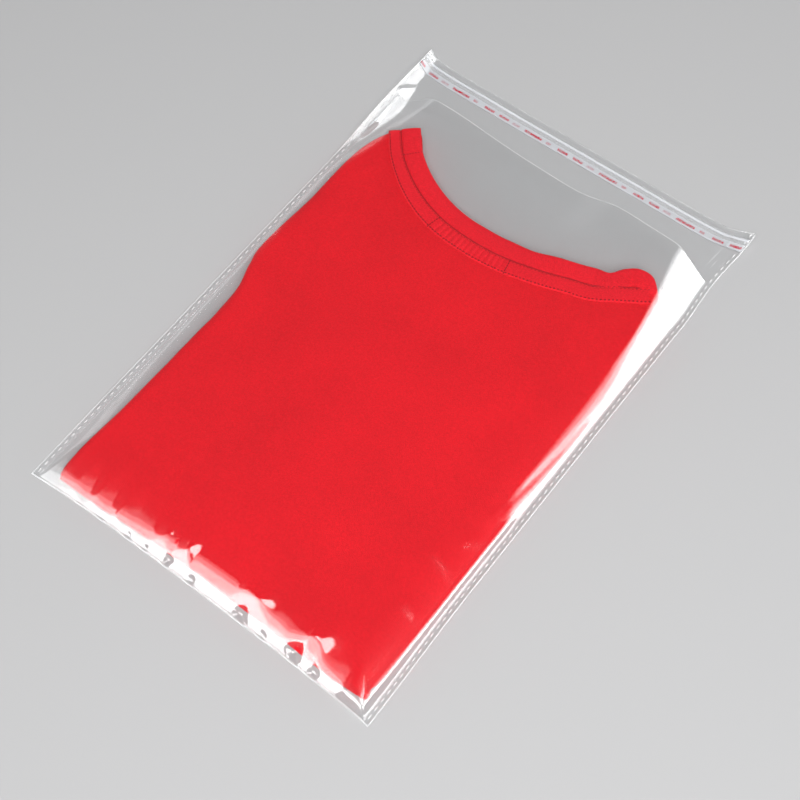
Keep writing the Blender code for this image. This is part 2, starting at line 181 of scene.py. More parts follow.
def back_z(x, y):
    """Middle of the back panel and flap: flat, with lifted seams, a curled corner and edge, a slight wave."""
    near_end = np.maximum(0.0, (y - MOUTH_Y) / FLAP_LENGTH) ** 2
    corner = ease(1 - (side_x(y) - x) / CORNER_CURL_WIDTH)
    flap = ease((y - MOUTH_Y + FLAP_WAVE_START) / FLAP_WAVE_RUN)
    z = FILM / 2 + seam_lift(y) * beside_seam(x, y) + CORNER_CURL * corner * near_end + left_curl(x, y)
    z = z + FLAP_WAVE * flap * (1 + ripple(x, 0 * y, FLAP_WAVE_LENGTH, seed=33))
    for fold in BACK_CREASES:
        z = z + crease(x, y, *fold)
    return z


# The front panel: slopes rise from the two welds and the fold to its top, which lies on the shirt
shirt_low, shirt_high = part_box("tshirt_body")
PANEL_OVER_SHIRT = 1.4 * MM
PANEL_Z = shirt_high.z + PANEL_OVER_SHIRT

# Where the slopes end: place along the edge, width of the slope and height of its crest, in mm, and at the
# bottom also how far behind the crest the film lies level
LEFT_CREST = (
    (-190, 8, 9),
    (-110, 10, 12),
    (-76, 9, 12.4),
    (-15, 8, 12.4),
    (5, 5, 11.5),
    (50, 5, 11.5),
    (80, 6.5, 12),
    (105, 12, 13),
    (127, 20, 17),
    (151, 29, 21.5),
)
RIGHT_CREST = (
    (-190, 3.2, 8.0),
    (-80, 3.4, 8.4),
    (-58, 3.5, 8.4),
    (-50, 5.6, 8.0),
    (-44, 9.0, 9.0),
    (-24, 9.2, 9.4),
    (10, 9.6, 9.6),
    (48, 11.2, 11.2),
    (70, 14.4, 14.0),
    (90, 17.4, 16.6),
    (105, 19, 18),
    (127, 22, 20.4),
    (151, 25, 22.2),
)
BOTTOM_CREST = (
    (-122, 3, 2.2, 48),
    (-110, 4.2, 3.2, 46),
    (-95, 6.2, 5.7, 40),
    (-88, 5.0, 3.9, 44),
    (-81, 6.8, 6.4, 38),
    (-72, 5.2, 4.2, 42),
    (-63, 8.0, 7.6, 34),
    (-55, 5.8, 4.8, 38),
    (-40, 7.5, 6.6, 32),
    (-31, 12, 11.4, 24),
    (-24, 9.5, 8.2, 24),
    (-15, 14.5, 13.8, 20),
    (-9, 11, 9.4, 24),
    (8, 12, 9.8, 24),
    (21, 12, 10.0, 22),
    (27, 15, 13.4, 20),
    (38, 17, 15.6, 18),
    (43, 13, 11.8, 20),
    (48, 9.5, 8.8, 22),
    (54, 7.2, 7.2, 22),
    (60, 7.5, 8, 22),
    (66, 11, 10.0, 20),
    (75.5, 19.5, 15.6, 18),
    (80.5, 16, 13.0, 20),
    (86, 7.5, 7.4, 30),
    (92, 6.6, 6.6, 34),
    (98, 5.4, 5.4, 34),
    (103, 4.6, 6.0, 34),
    (107, 4.5, 8.0, 34),
    (122, 4.5, 8.5, 34),
)
LEFT_REACH = 16 * MM
RIGHT_REACH = 34 * MM
SLOPE_FOOT = -0.6

# The front panel's creases: ridges and dents of the puckers at the fold, then those beside the welds
FRONT_CREASES = (
    ((38.5, -191), (36.0, -165), 1.4, 6.5, 1.6, 0.35),
    ((75.5, -191), (73.5, -162), 1.5, 6.5, 1.6, 0.35),
    ((-9, -191), (-16, -168), 1.3, 5.0, 1.3, 0.4),
    ((-62, -191), (-64, -178), 0.8, 3.5, 1.2, 0.4),
    ((37, -193), (27, -183.5), -7.5, 2.6, 5.0),
    ((43, -193), (49, -186), -3.5, 1.5, 3.5),
    ((74.5, -193.5), (66, -181), -8.5, 3.0, 5.5),
    ((79, -193.5), (86, -185), -6.0, 2.0, 4.5),
    ((-11, -192), (-4, -185), -4.0, 1.5, 3.5),
    ((-26, -192), (-23, -183), -5.0, 1.5, 3.5),
    ((-38, -192), (-41, -186), -3.0, 1.2, 2.5),
    ((-57, -192), (-52, -186), -3.5, 1.2, 3.0),
    ((-71, -192), (-75, -187), -2.5, 1.2, 3.0),
    ((121, -100), (90, -92.5), 1.2, 2.0, 7.0),
    ((120, -70), (104, -79), 0.9, 2.0, 6.0),
    ((119, -61), (106, -55), 0.7, 2.0, 5.0),
    ((120, -132), (98, -126), 0.7, 2.0, 6.0),
    ((119.5, 70), (112.0, -52), -0.9, 0.8, 2.4),
    ((-121, -114), (-112, -110), 1.0, 1.5, 3.0),
    ((-121, -130), (-111, -134), 1.0, 1.5, 3.5),
    ((-121, -141), (-112, -139), 0.8, 1.5, 3.0),
    ((-119, 30), (-104, 12), 0.8, 3.0, 4.0),
    ((-112, 138), (-100, 112), 1.0, 2.5, 6.0),
    ((119.5, 113), (107, 127), 0.9, 1.0, 3.0),
    ((119.5, 111), (110, 99), 0.7, 1.0, 3.0),
)

# The two humps of the open mouth and the dip between them: middle and half width in shares of the pocket's
# half width, and height in shares of the rise. The right hump runs on level to the weld.
MOUTH_RISE = 7.0 * MM
HUMP_RUN = 85 * MM
LEFT_HUMP = (-0.74, 0.62, 1.15)
MIDDLE_DIP = (0.12, 0.35, -0.25)
RIGHT_HUMP_FROM = 0.16
RIGHT_HUMP_RUN = 0.30

# How widely the slopes are rounded where they meet the panel's top and each other
NEAR_MOUTH = 45 * MM
LEFT_BLEND = 1.5 * MM
LEFT_MOUTH_BLEND = 6 * MM
LEFT_MOUTH_BEND = 0.5
RIGHT_BLEND = 1.0 * MM
RIGHT_UPPER_BLEND = 3.0 * MM
RIGHT_UPPER_FROM = -54 * MM
RIGHT_UPPER_RUN = 40 * MM
RIGHT_MOUTH_BLEND = 2.5 * MM
BOTTOM_BLEND = 2.5 * MM
SIDES_BLEND = 1.5 * MM
HIP_BLEND = 1.0 * MM

# The film's slight waves: they fade out towards the welds and grow towards the open mouth
LOOSE_HEIGHT = 4 * MM
OPEN_RUN = 60 * MM
PANEL_WAVE = 0.10 * MM
OPEN_WAVE = 0.25 * MM
PANEL_WAVE_LENGTH = 60 * MM
LEAST_GAP = 0.05 * MM


def bump(t):
    """1 at t = 0, falling to 0 at t = -1 and 1."""
    return ease(1 - np.abs(t))


def soft_min(a, b, blend):
    """The lower of two heights, rounded where they meet."""
    near = np.maximum(blend - np.abs(a - b), 0.0) / blend
    return np.minimum(a, b) - near * near * blend / 4


def from_table(table, column, at):
    """A table's value at each place, in metres, straight between its rows."""
    rows = np.array(table, float) * MM
    return np.interp(at, rows[:, 0], rows[:, column])


def panel_height(x, y):
    """Height of the front panel's top: it rises in two humps at the mouth."""
    u = x / POCKET_HALF
    rise = 0.0
    for hump_at, half, share in (LEFT_HUMP, MIDDLE_DIP):
        rise = rise + share * bump((u - hump_at) / half)
    rise = rise + ease((u - RIGHT_HUMP_FROM) / RIGHT_HUMP_RUN)
    return PANEL_Z + MOUTH_RISE * rise * ease((y - MOUTH_Y) / HUMP_RUN + 1)


def slope(d, width, height, panel, reach, blend, power=1.0, start=0.0):
    """Height at d inside the weld: a slope up to its crest, then an easy rise to the panel's top."""
    ramp = start + height * (np.maximum(d, 0.0) / width) ** power
    t = np.clip((d - width) / reach, SLOPE_FOOT, 1.0)
    return soft_min(ramp, height + (panel - height) * (1 - (1 - t) ** 2), blend)


def front_z(x, y):
    """Middle of the front panel over the pocket."""
    weld = side_x(y) - WELD_MARGIN
    near_mouth = ease(1 - (MOUTH_Y - y) / NEAR_MOUTH)
    upper = ease((y - RIGHT_UPPER_FROM) / RIGHT_UPPER_RUN)
    panel = panel_height(x, y)
    weld_over_back = seam_lift(y) * (1 - beside_seam(x, y))
    left = slope(
        x + weld,
        smooth_table(LEFT_CREST, 1, y),
        smooth_table(LEFT_CREST, 2, y),
        panel,
        LEFT_REACH,
        LEFT_BLEND + LEFT_MOUTH_BLEND * near_mouth,
        1 + LEFT_MOUTH_BEND * near_mouth,
        weld_over_back,
    )
    right = slope(
        weld - x,
        smooth_table(RIGHT_CREST, 1, y),
        smooth_table(RIGHT_CREST, 2, y),
        panel,
        RIGHT_REACH,
        RIGHT_BLEND + RIGHT_UPPER_BLEND * upper + RIGHT_MOUTH_BLEND * near_mouth,
        start=weld_over_back,
    )
    width, height, reach = (from_table(BOTTOM_CREST, k, x) for k in (1, 2, 3))
    bottom = slope(y - bottom_y(x), width, height, panel, reach, BOTTOM_BLEND)
    z = soft_min(soft_min(left, right, SIDES_BLEND), bottom, HIP_BLEND)
    inside = np.minimum(1.0, z / LOOSE_HEIGHT)
    for fold in FRONT_CREASES:
        z = z + crease(x, y, *fold)
    open_span = ease((y - MOUTH_Y + OPEN_RUN) / OPEN_RUN)
    wave = PANEL_WAVE + OPEN_WAVE * open_span
    z = z + wave * ripple(x, y, PANEL_WAVE_LENGTH, seed=41) * inside
    return back_z(x, y) + FILM + np.maximum(z, LEAST_GAP * inside)


# The shirt's outline, in shares of its width and length, and its creases, given as those of the film are
SHIRT_Z = shirt_low.z
SHIRT_CROWN = 0.8 * MM
SHIRT_THICKNESS = shirt_high.z - SHIRT_Z - SHIRT_CROWN
SHIRT_TO_FILM = 0.35 * MM
SIDE_RIGHT = ((0.955, 0.006), (0.992, 0.035), (1.0, 0.10), (0.998, 0.35), (1.0, 0.62), (0.997, 0.86))
SHOULDER_RIGHT = ((0.986, 0.900), (0.950, 0.938), (0.905, 0.972))
SHOULDER_LEFT = ((0.086, 0.981), (0.052, 0.953), (0.026, 0.912))
SIDE_LEFT = ((0.014, 0.86), (0.012, 0.74), (0.0, 0.60), (0.012, 0.55), (0.038, 0.47), (0.038, 0.30))
BOTTOM_LEFT = ((0.024, 0.08), (0.020, 0.018), (0.032, 0.003), (0.075, 0.001), (0.50, 0.010))
NECK_EDGE = (
    (0.123, 0.992),
    (0.182, 0.945),
    (0.266, 0.906),
    (0.360, 0.882),
    (0.455, 0.876),
    (0.545, 0.881),
    (0.640, 0.897),
    (0.715, 0.915),
    (0.765, 0.926),
    (0.803, 0.933),
    (0.826, 0.956),
    (0.860, 0.973),
)
OUTLINE_STEPS = 18
NECK_STEPS = 20
SHIRT_WAVE = 0.30 * MM
SHIRT_WAVE_LENGTH = 95 * MM
SHIRT_DIMPLE = 0.08 * MM
SHIRT_DIMPLE_LENGTH = 22 * MM
PRESS_BLEND = 1.5 * MM
SHIRT_CREASES = (
    ((-1.5, 52), (3, 40), 0.5, 1.6, 2.4, 0.4),
    ((3.5, 54), (6.5, 44), 0.35, 1.4, 2.0, 0.4),
    ((-100, -70), (-110, -93), 0.8, 3.0, 3.0, 0.5),
    ((-60, 95), (-84, 60), 0.4, 4.0, 8.0, 0.4),
    ((-90, 100), (-106, 70), 0.5, 3.0, 7.0, 0.4),
    ((117, 60), (92, 74), 0.5, 4.0, 3.0, 0.4),
    ((60, 84), (66, 58), 0.3, 4.0, 6.0, 0.4),
)


def in_shirt(shares):
    """Places from shares of the folded shirt's width and length."""
    low = np.array([shirt_low.x, shirt_low.y])
    size = np.array([shirt_high.x - shirt_low.x, shirt_high.y - shirt_low.y])
    return low + np.array(shares, float) * size


neck_line = smooth_line(in_shirt(NECK_EDGE + tuple(reversed(SHOULDER_RIGHT[1:]))), NECK_STEPS)
neck_side = SHOULDER_RIGHT + tuple(reversed(NECK_EDGE)) + SHOULDER_LEFT
outline = smooth_line(in_shirt(SIDE_RIGHT + neck_side + SIDE_LEFT + BOTTOM_LEFT), OUTLINE_STEPS, closed=True)


def shirt_top(x, y):
    """Height of the shirt's top layer: nearly level, with soft creases, and held down by the film."""
    across = (2 * x - shirt_low.x - shirt_high.x) / (shirt_high.x - shirt_low.x)
    along = (2 * y - shirt_low.y - shirt_high.y) / (shirt_high.y - shirt_low.y)
    z = SHIRT_Z + SHIRT_THICKNESS + SHIRT_CROWN * np.clip((1 - across**2) * (1 - along**2), 0, 1)
    z = z + SHIRT_WAVE * ripple(x, y, SHIRT_WAVE_LENGTH, seed=3)
    z = z + SHIRT_DIMPLE * ripple(x, y, SHIRT_DIMPLE_LENGTH, seed=5)
    for fold in SHIRT_CREASES:
        z = z + crease(x, y, *fold)
    return soft_min(z, front_z(x, y) - FILM / 2 - SHIRT_TO_FILM, PRESS_BLEND)


JERSEY_RED = (0.90, 0.007, 0.018)
JERSEY_DARK = (0.77, 0.005, 0.013)
JERSEY_PITCH = 0.9 * MM
JERSEY_SHEEN = 0.10
WAVE_TEXTURE_LENGTH = 0.314
COURSE_SHARE = 0.75
KNIT_RELIEF = 0.16 * MM


def set_inputs(tree, node, inputs):
    """Set a node's inputs to values, or join them to other nodes' outputs."""
    for label, given in inputs.items():
        if isinstance(given, bpy.types.NodeSocket):
            tree.links.new(given, node.inputs[label])
        else:
            node.inputs[label].default_value = given


def add_node(tree, kind, inputs, **options):
    """A new node with its options and inputs set."""
    node = tree.nodes.new(kind)
    for label, choice in options.items():
        setattr(node, label, choice)
    set_inputs(tree, node, inputs)
    return node


def new_material(name):
    """A new material, its node tree and its main shader."""
    material = bpy.data.materials.new(name)
    material.use_nodes = True
    return material, material.node_tree, material.node_tree.nodes["Principled BSDF"]


def tinted(tree, inputs, blend="MIX"):
    """The colour out of a new colour mix, whose inputs are 0 for its share, 6 and 7 for its colours."""
    return add_node(tree, "ShaderNodeMix", inputs, data_type="RGBA", blend_type=blend).outputs[2]


def red_knit(name, colour, dark, pitch, sheen):
    """Cotton knit: fine wales and courses as bump, small changes of colour, a soft sheen."""
    material, tree, shader = new_material(name)
    spot = add_node(tree, "ShaderNodeTexCoord", {}).outputs["Object"]
    fuzz_inputs = {"Vector": spot, "Scale": 850.0, "Detail": 3.0, "Roughness": 0.65}
    fuzz = add_node(tree, "ShaderNodeTexNoise", fuzz_inputs).outputs["Fac"]
    shade = add_node(tree, "ShaderNodeTexNoise", {"Vector": spot, "Scale": 22.0, "Detail": 2.0})
    speck = add_node(tree, "ShaderNodeMapRange", {"Value": fuzz, "From Min": 0.3, "From Max": 0.7})
    cloth = tinted(tree, {0: speck.outputs["Result"], 6: dark + (1.0,), 7: colour + (1.0,)})
    broad = tinted(tree, {0: 0.22, 6: cloth, 7: shade.outputs["Fac"]}, "MULTIPLY")
    gain = tinted(tree, {0: 1.0, 6: broad, 7: (1.12, 1.12, 1.12, 1.0)}, "MULTIPLY")
    ridges = []
    for direction, length in (("X", pitch), ("Y", COURSE_SHARE * pitch)):
        wave_inputs = {
            "Vector": spot,
            "Scale": WAVE_TEXTURE_LENGTH / length,
            "Distortion": 1.6,
            "Detail": 2.0,
            "Detail Scale": 2.5,
        }
        ridges.append(add_node(tree, "ShaderNodeTexWave", wave_inputs, bands_direction=direction))
    wales, courses = (ridge.outputs["Fac"] for ridge in ridges)
    loops = add_node(tree, "ShaderNodeMath", {0: wales, 1: courses, 2: fuzz}, operation="MULTIPLY_ADD")
    relief = {"Height": loops.outputs["Value"], "Strength": 0.55, "Distance": KNIT_RELIEF}
    finish = {
        "Base Color": gain,
        "Roughness": 0.82,
        "Specular IOR Level": 0.1,
        "Sheen Weight": sheen,
        "Sheen Roughness": 0.45,
        "Sheen Tint": (1.0, 0.32, 0.32, 1.0),
        "Normal": add_node(tree, "ShaderNodeBump", relief).outputs["Normal"],
    }
    set_inputs(tree, shader, finish)
    return material


def in_scene(name, data):
    """A new object at the origin, put in the scene."""
    made = bpy.data.objects.new(name, data)
    bpy.context.scene.collection.objects.link(made)
    return made


def new_mesh(name, verts, faces, *materials):
    """A smooth mesh piece at the origin, with its faces turned outwards."""
    mesh = bpy.data.meshes.new(name)
    mesh.from_pydata([tuple(v) for v in np.asarray(verts, float)], [], faces)
    for material in materials:
        mesh.materials.append(material)
    mesh.polygons.foreach_set("use_smooth", [True] * len(mesh.polygons))
    bm = bmesh.new()
    bm.from_mesh(mesh)
    bmesh.ops.recalc_face_normals(bm, faces=bm.faces[:])
    bm.to_mesh(mesh)
    bm.free()
    return in_scene(name, mesh)


def tube_faces(rows, columns, capped=False):
    """Quads round a stack of rings, and if capped a face over each end ring."""
    faces = []
    for i in range(rows - 1):
        for j in range(columns):
            k = (j + 1) % columns
            faces.append((i * columns + j, i * columns + k, (i + 1) * columns + k, (i + 1) * columns + j))
    if capped:
        faces.append(tuple(range(columns)))
        faces.append(tuple(range(rows * columns - 1, (rows - 1) * columns - 1, -1)))
    return faces


jersey = red_knit("red_jersey", JERSEY_RED, JERSEY_DARK, JERSEY_PITCH, JERSEY_SHEEN)

# The rim shows the edges of the folded layers, and the top closes in rings towards the shirt's middle. The
# neck band lies in a shallow seat along the neckline.
FOLD_LAYERS = 3
FOLD_GROOVE = 1.1 * MM
PLY_GROOVE = 0.3 * MM
LAYER_SHIFT = 0.6 * MM
EDGE_ROUND = 6.0 * MM
LAYER_SHIFT_LENGTH = 60 * MM
LAYER_ROUND = 0.7
PROFILE_STEPS = 36
CROWN_RINGS = 90
RING_SPACING = 1.4
MIDDLE_AT = 0.45
CORE_FROM = 0.25
CORE_TO = 0.60
RIB_WIDTH = 12.4 * MM
RIB_SEAT = 0.9 * MM
SEAT_MARGIN = 0.6 * MM
SEAT_EDGE = 1.2 * MM
SEAT_START = 30

shirt_length = shirt_high.y - shirt_low.y
middle = np.array([(shirt_low.x + shirt_high.x) / 2, shirt_low.y + MIDDLE_AT * shirt_length])
core_y = np.clip(outline[:, 1], shirt_low.y + CORE_FROM * shirt_length, shirt_low.y + CORE_TO * shirt_length)
inwards = np.stack([np.full(len(outline), middle[0]), core_y], axis=1) - outline
inwards /= np.linalg.norm(inwards, axis=1)[:, None]


def neck_gap(x, y):
    """Distance to the neckline's edge."""
    gap = np.full(np.shape(x), 1.0)
    for px, py in neck_line[::2]:
        gap = np.minimum(gap, np.hypot(x - px, y - py))
    return gap


verts = []
for t in np.linspace(0.0, 1.0, PROFILE_STEPS + 1):
    layer = min(int(FOLD_LAYERS * t), FOLD_LAYERS - 1)
    lobe = abs(math.sin(math.pi * FOLD_LAYERS * t)) ** LAYER_ROUND
    ply = abs(math.sin(2 * math.pi * FOLD_LAYERS * t))
    inset = EDGE_ROUND * (1 - math.sqrt(1 - t**3)) + FOLD_GROOVE * (1 - lobe) + PLY_GROOVE * (1 - ply)
    uneven = ripple(outline[:, 0], outline[:, 1], LAYER_SHIFT_LENGTH, seed=11 + layer)
    shift = LAYER_SHIFT * (1 + uneven) * lobe
    ring = outline + inwards * (inset + shift)[:, None]
    z = SHIRT_Z + t * (shirt_top(ring[:, 0], ring[:, 1]) - SHIRT_Z)
    verts.append(np.column_stack([ring, z]))
edge = verts[-1][:, :2]
for k in range(1, CROWN_RINGS):
    t = (k / CROWN_RINGS) ** RING_SPACING
    ring = edge * (1 - t) + middle * t
    x, y = ring[:, 0], ring[:, 1]
    under_rib = ease((RIB_WIDTH + SEAT_MARGIN - neck_gap(x, y)) / SEAT_EDGE)
    seat = RIB_SEAT * under_rib * ease(np.array(t * SEAT_START))
    verts.append(np.column_stack([ring, shirt_top(x, y) - seat]))
rings = len(verts)
count = len(outline)
verts = np.concatenate(verts + [[[middle[0], middle[1], verts[-1][:, 2].mean()]]])
faces = tube_faces(rings, count)
last_ring = (rings - 1) * count
faces += [(last_ring + i, last_ring + (i + 1) % count, rings * count) for i in range(count)]
faces.append(tuple(range(count - 1, -1, -1)))
tshirt = new_mesh("tshirt_folded", verts, faces, jersey)
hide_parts("tshirt_body")
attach(tshirt, "root")

# Neck band
# A strip of 1 by 1 rib knit, folded double and sewn round the neckline, so its ridges run across it.
# It lies in the neckline a little proud of the jersey, and its free edge waves where the rib slackens.
RIB_THICKNESS = 2.6 * MM
RIB_PROUD = 0.5 * MM
RIB_PITCH = 1.25 * MM
RIB_DEPTH = 0.14 * MM
EDGE_WAVE = 0.9 * MM
EDGE_WAVE_LENGTH = 26 * MM
EDGE_WAVE_END = 6 * MM
SLACK_FROM = 0.3
SLACK_RUN = 0.2
RIB_FADE = 0.4
RIB_SIDES = 22
RIB_STEPS = 4
BAND_SIDE_ROUND = 0.5
BAND_TOP_ROUND = 0.8
RIB_SINK = 2.6 * MM
RIB_SINK_RUN = 9 * MM
RIB_RED = (1.0, 0.012, 0.030)
RIB_DARK = (0.80, 0.008, 0.018)
RIB_STITCH = 0.8 * MM
RIB_SHEEN = 0.16

rib_knit = red_knit("red_rib_knit", RIB_RED, RIB_DARK, RIB_STITCH, RIB_SHEEN)


def evenly(line, step):
    """The line again, with a place at every step along it, and how far along each is."""
    runs = np.linalg.norm(np.diff(line, axis=0), axis=1)
    reach = np.concatenate([[0.0], np.cumsum(runs)])
    at = np.linspace(0.0, reach[-1], max(2, int(round(reach[-1] / step)) + 1))
    return np.stack([np.interp(at, reach, line[:, k]) for k in range(line.shape[1])], axis=1), at


def rightwards(line):
    """Unit vectors across a flat line, towards its right."""
    along = np.gradient(line, axis=0)
    along /= np.linalg.norm(along, axis=1)[:, None]
    return np.stack([along[:, 1], -along[:, 0]], axis=1)


neck, neck_reach = evenly(neck_line, RIB_PITCH / RIB_STEPS)
rib_inward = rightwards(neck)
angles = 2 * math.pi * np.arange(RIB_SIDES) / RIB_SIDES
across = np.sign(np.cos(angles)) * np.abs(np.cos(angles)) ** BAND_SIDE_ROUND
up = np.sign(np.sin(angles)) * np.abs(np.sin(angles)) ** BAND_TOP_ROUND
wave = EDGE_WAVE * ripple(neck_reach, 0 * neck_reach, EDGE_WAVE_LENGTH, seed=21)
from_ends = np.minimum(neck_reach, neck_reach[-1] - neck_reach)
slack = ease((neck_reach / neck_reach[-1] - SLACK_FROM) / SLACK_RUN)
wave = wave * ease(from_ends / EDGE_WAVE_END) * slack
sink = RIB_SINK * ease(1 - (neck_reach[-1] - neck_reach) / RIB_SINK_RUN)
knit = RIB_DEPTH * np.cos(2 * math.pi * neck_reach / RIB_PITCH)
reach = RIB_WIDTH / 2 * (1 + across) + wave[:, None] * (1 - across) / 2
x = neck[:, :1] + rib_inward[:, :1] * reach
y = neck[:, 1:] + rib_inward[:, 1:] * reach
lie_x = np.where(reach < RIB_THICKNESS, neck[:, :1] + rib_inward[:, :1] * RIB_THICKNESS, x)
lie = shirt_top(lie_x, y)
z = lie + RIB_PROUD - sink[:, None] - RIB_THICKNESS / 2 * (1 - up)
z = z + knit[:, None] * np.maximum(0, up) * (1 - RIB_FADE * across**2)
verts = np.stack([x, y, z], axis=2).reshape(-1, 3)
neck_band = new_mesh("neck_rib_knit", verts, tube_faces(len(neck), RIB_SIDES, capped=True), rib_knit)
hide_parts("neck_rib")
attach(neck_band, "root")

# Neck tape
# A narrow folded strip of the same knit as the neck band, which covers the neck seam inside the back of
# the shirt. It is sewn down along both edges, and gathered a little between two short tacks.
TAPE_FROM = 13.2 * MM
TAPE_WIDTH = 10.4 * MM
TAPE_NARROW = 0.72
TAPE_NARROW_RUN = 0.35
SEAM_END = ((0.812, 0.948), (0.860, 0.970), (0.882, 0.981))
TAPE_THICKNESS = 0.9 * MM
TAPE_ROOT = 1.0 * MM
TAPE_SINK = 0.02 * MM
TAPE_POINTS = 17
TAPE_ROUND = 0.3
TACKS = (0.335, 0.585)
GATHER_PITCH = 3.2 * MM
GATHER_DEPTH = 0.85 * MM
GATHER_SHARP = 1.5
GATHER_EASE = 0.02
TAPE_LEFT_END = 0.8 * MM
TAPE_RIGHT_END = 1.0 * MM
TAPE_STEP = 0.35 * MM

seam_line = smooth_line(in_shirt(NECK_EDGE[:-3] + SEAM_END), NECK_STEPS)
tape_line, tape_reach = evenly(seam_line, TAPE_STEP)
inward = rightwards(tape_line)
keep = (tape_reach > TAPE_LEFT_END) & (tape_reach < tape_reach[-1] - TAPE_RIGHT_END)
tape_line, tape_reach, inward = tape_line[keep], tape_reach[keep], inward[keep]
shares = np.linspace(0.0, 1.0, TAPE_POINTS)
crest = np.sin(math.pi * shares) ** TAPE_ROUND
part = (tape_reach - tape_reach[0]) / (tape_reach[-1] - tape_reach[0])
gathered = ease((part - TACKS[0]) / GATHER_EASE) * ease((TACKS[1] - part) / GATHER_EASE)
folds = (1 - np.abs(np.sin(math.pi * tape_reach / GATHER_PITCH))) ** GATHER_SHARP
gather = -GATHER_DEPTH * gathered * folds
width = TAPE_WIDTH * (TAPE_NARROW + (1 - TAPE_NARROW) * ease(part / TAPE_NARROW_RUN))
tape_offset = TAPE_FROM + width[:, None] * shares
x = tape_line[:, :1] + inward[:, :1] * tape_offset
y = tape_line[:, 1:] + inward[:, 1:] * tape_offset
z = shirt_top(x, y) + (TAPE_THICKNESS + gather[:, None]) * crest - TAPE_SINK
tape_top = np.stack([x, y, z], axis=2)
tape_under = tape_top[:, ::-1].copy()
tape_under[:, :, 2] = (shirt_top(x, y) - TAPE_ROOT)[:, ::-1]
verts = np.concatenate([tape_top, tape_under], axis=1)
faces = tube_faces(*verts.shape[:2], capped=True)
neck_tape = new_mesh("neck_tape", verts.reshape(-1, 3), faces, rib_knit)
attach(neck_tape, "root")

# Stitches and neck seam
# Red sewing thread: a row of lockstitch along each edge of the tape, the lower one with its needle holes,
# a short tack at each end of the gathered part, and the join of the rib. A fine seam runs along the band.
# The needle holes, the tacks and the join are painted in a dark red for the shade sunk into them, and the
# seam's thread is a dark line that also paints the shade of the ditch it lies in.
STITCH_LENGTH = 1.2 * MM
STITCH_PITCH = 2.4 * MM
STITCH_WIDTH = 0.55 * MM
STITCH_HEIGHT = 0.4 * MM
HOLE_SIZE = 1.4 * MM
HOLE_WIDTH = 0.9 * MM
HOLE_HEIGHT = 0.9 * MM
DITCH_AT = 12.7 * MM
DITCH_WIDTH = 0.6 * MM
DITCH_DEPTH = 0.35 * MM
JOIN_AT = 19 * MM
JOIN_REACH = np.linspace(1.0, 12.0, 12) * MM
STITCH_ROWS = (0.06, 0.88)
TACK_LENGTH = 1.6 * MM
TACK_WIDTH = 0.7 * MM
TACK_HEIGHT = 0.6 * MM
JOIN_LENGTH = 0.9 * MM
JOIN_WIDTH = 0.55 * MM
JOIN_HEIGHT = 0.4 * MM
TIGHT_PITCH = 1.7 * MM
THREAD_RED = (0.55, 0.008, 0.018)
STITCH_SHADE_RED = (0.32, 0.002, 0.006)
TWIST_SCALE = 900.0
TWIST_RELIEF = 0.05 * MM


def marks_tree():
    """Geometry Nodes: one rounded mark every spacing along the curves, its top kept up."""
    tree = bpy.data.node_groups.new("marks_along_line", "GeometryNodeTree")
    face = tree.interface
    face.new_socket("Geometry", in_out="INPUT", socket_type="NodeSocketGeometry")
    for label in ("Length", "Width", "Height", "Spacing"):
        face.new_socket(label, in_out="INPUT", socket_type="NodeSocketFloat")
    face.new_socket("Material", in_out="INPUT", socket_type="NodeSocketMaterial")
    face.new_socket("Geometry", in_out="OUTPUT", socket_type="NodeSocketGeometry")
    given = add_node(tree, "NodeGroupInput", {}).outputs
    path = {"Curve": given["Geometry"], "Length": given["Spacing"]}
    points = add_node(tree, "GeometryNodeCurveToPoints", path, mode="LENGTH").outputs
    mark = add_node(tree, "GeometryNodeMeshUVSphere", {"Segments": 8, "Rings": 5, "Radius": 0.5})
    sizes = {"X": given["Length"], "Y": given["Width"], "Z": given["Height"]}
    size = add_node(tree, "ShaderNodeCombineXYZ", sizes)
    turn_kind = "FunctionNodeAlignRotationToVector"
    turn = add_node(tree, turn_kind, {"Vector": points["Tangent"]}, axis="X")
    level = add_node(tree, turn_kind, {"Rotation": turn.outputs["Rotation"]}, axis="Z", pivot_axis="X")
    copies = {
        "Points": points["Points"],
        "Instance": mark.outputs["Mesh"],
        "Rotation": level.outputs["Rotation"],
        "Scale": size.outputs["Vector"],
    }
    placed = add_node(tree, "GeometryNodeInstanceOnPoints", copies)
    real = add_node(tree, "GeometryNodeRealizeInstances", {"Geometry": placed.outputs["Instances"]})
    finish = {"Geometry": real.outputs["Geometry"], "Material": given["Material"]}
    done = add_node(tree, "GeometryNodeSetMaterial", finish)
    add_node(tree, "NodeGroupOutput", {"Geometry": done.outputs["Geometry"]})
    return tree


mark_nodes = marks_tree()


def marks_along(name, lines, length, width, height, spacing, material):
    """A plain mesh of marks along the given lines of places."""
    curve = bpy.data.curves.new(name + "_path", "CURVE")
    curve.dimensions = "3D"
    for line in lines:
        spline = curve.splines.new("POLY")
        spline.points.add(len(line) - 1)
        for point, place in zip(spline.points, line):
            point.co = (*place, 1.0)
    path = in_scene(name + "_path", curve)
    modifier = path.modifiers.new("Marks", "NODES")
    modifier.node_group = mark_nodes
    sizes = {"Length": length, "Width": width, "Height": height, "Spacing": spacing, "Material": material}
    for item in mark_nodes.interface.items_tree:
        if item.in_out == "INPUT" and item.name in sizes:
            modifier[item.identifier] = sizes[item.name]
    evaluated = path.evaluated_get(bpy.context.evaluated_depsgraph_get())
    mesh = bpy.data.meshes.new_from_object(evaluated)
    mesh.name = name
    path.modifiers.clear()
    bpy.data.objects.remove(path)
    bpy.data.curves.remove(curve)
    mesh.polygons.foreach_set("use_smooth", [True] * len(mesh.polygons))
    return in_scene(name, mesh)


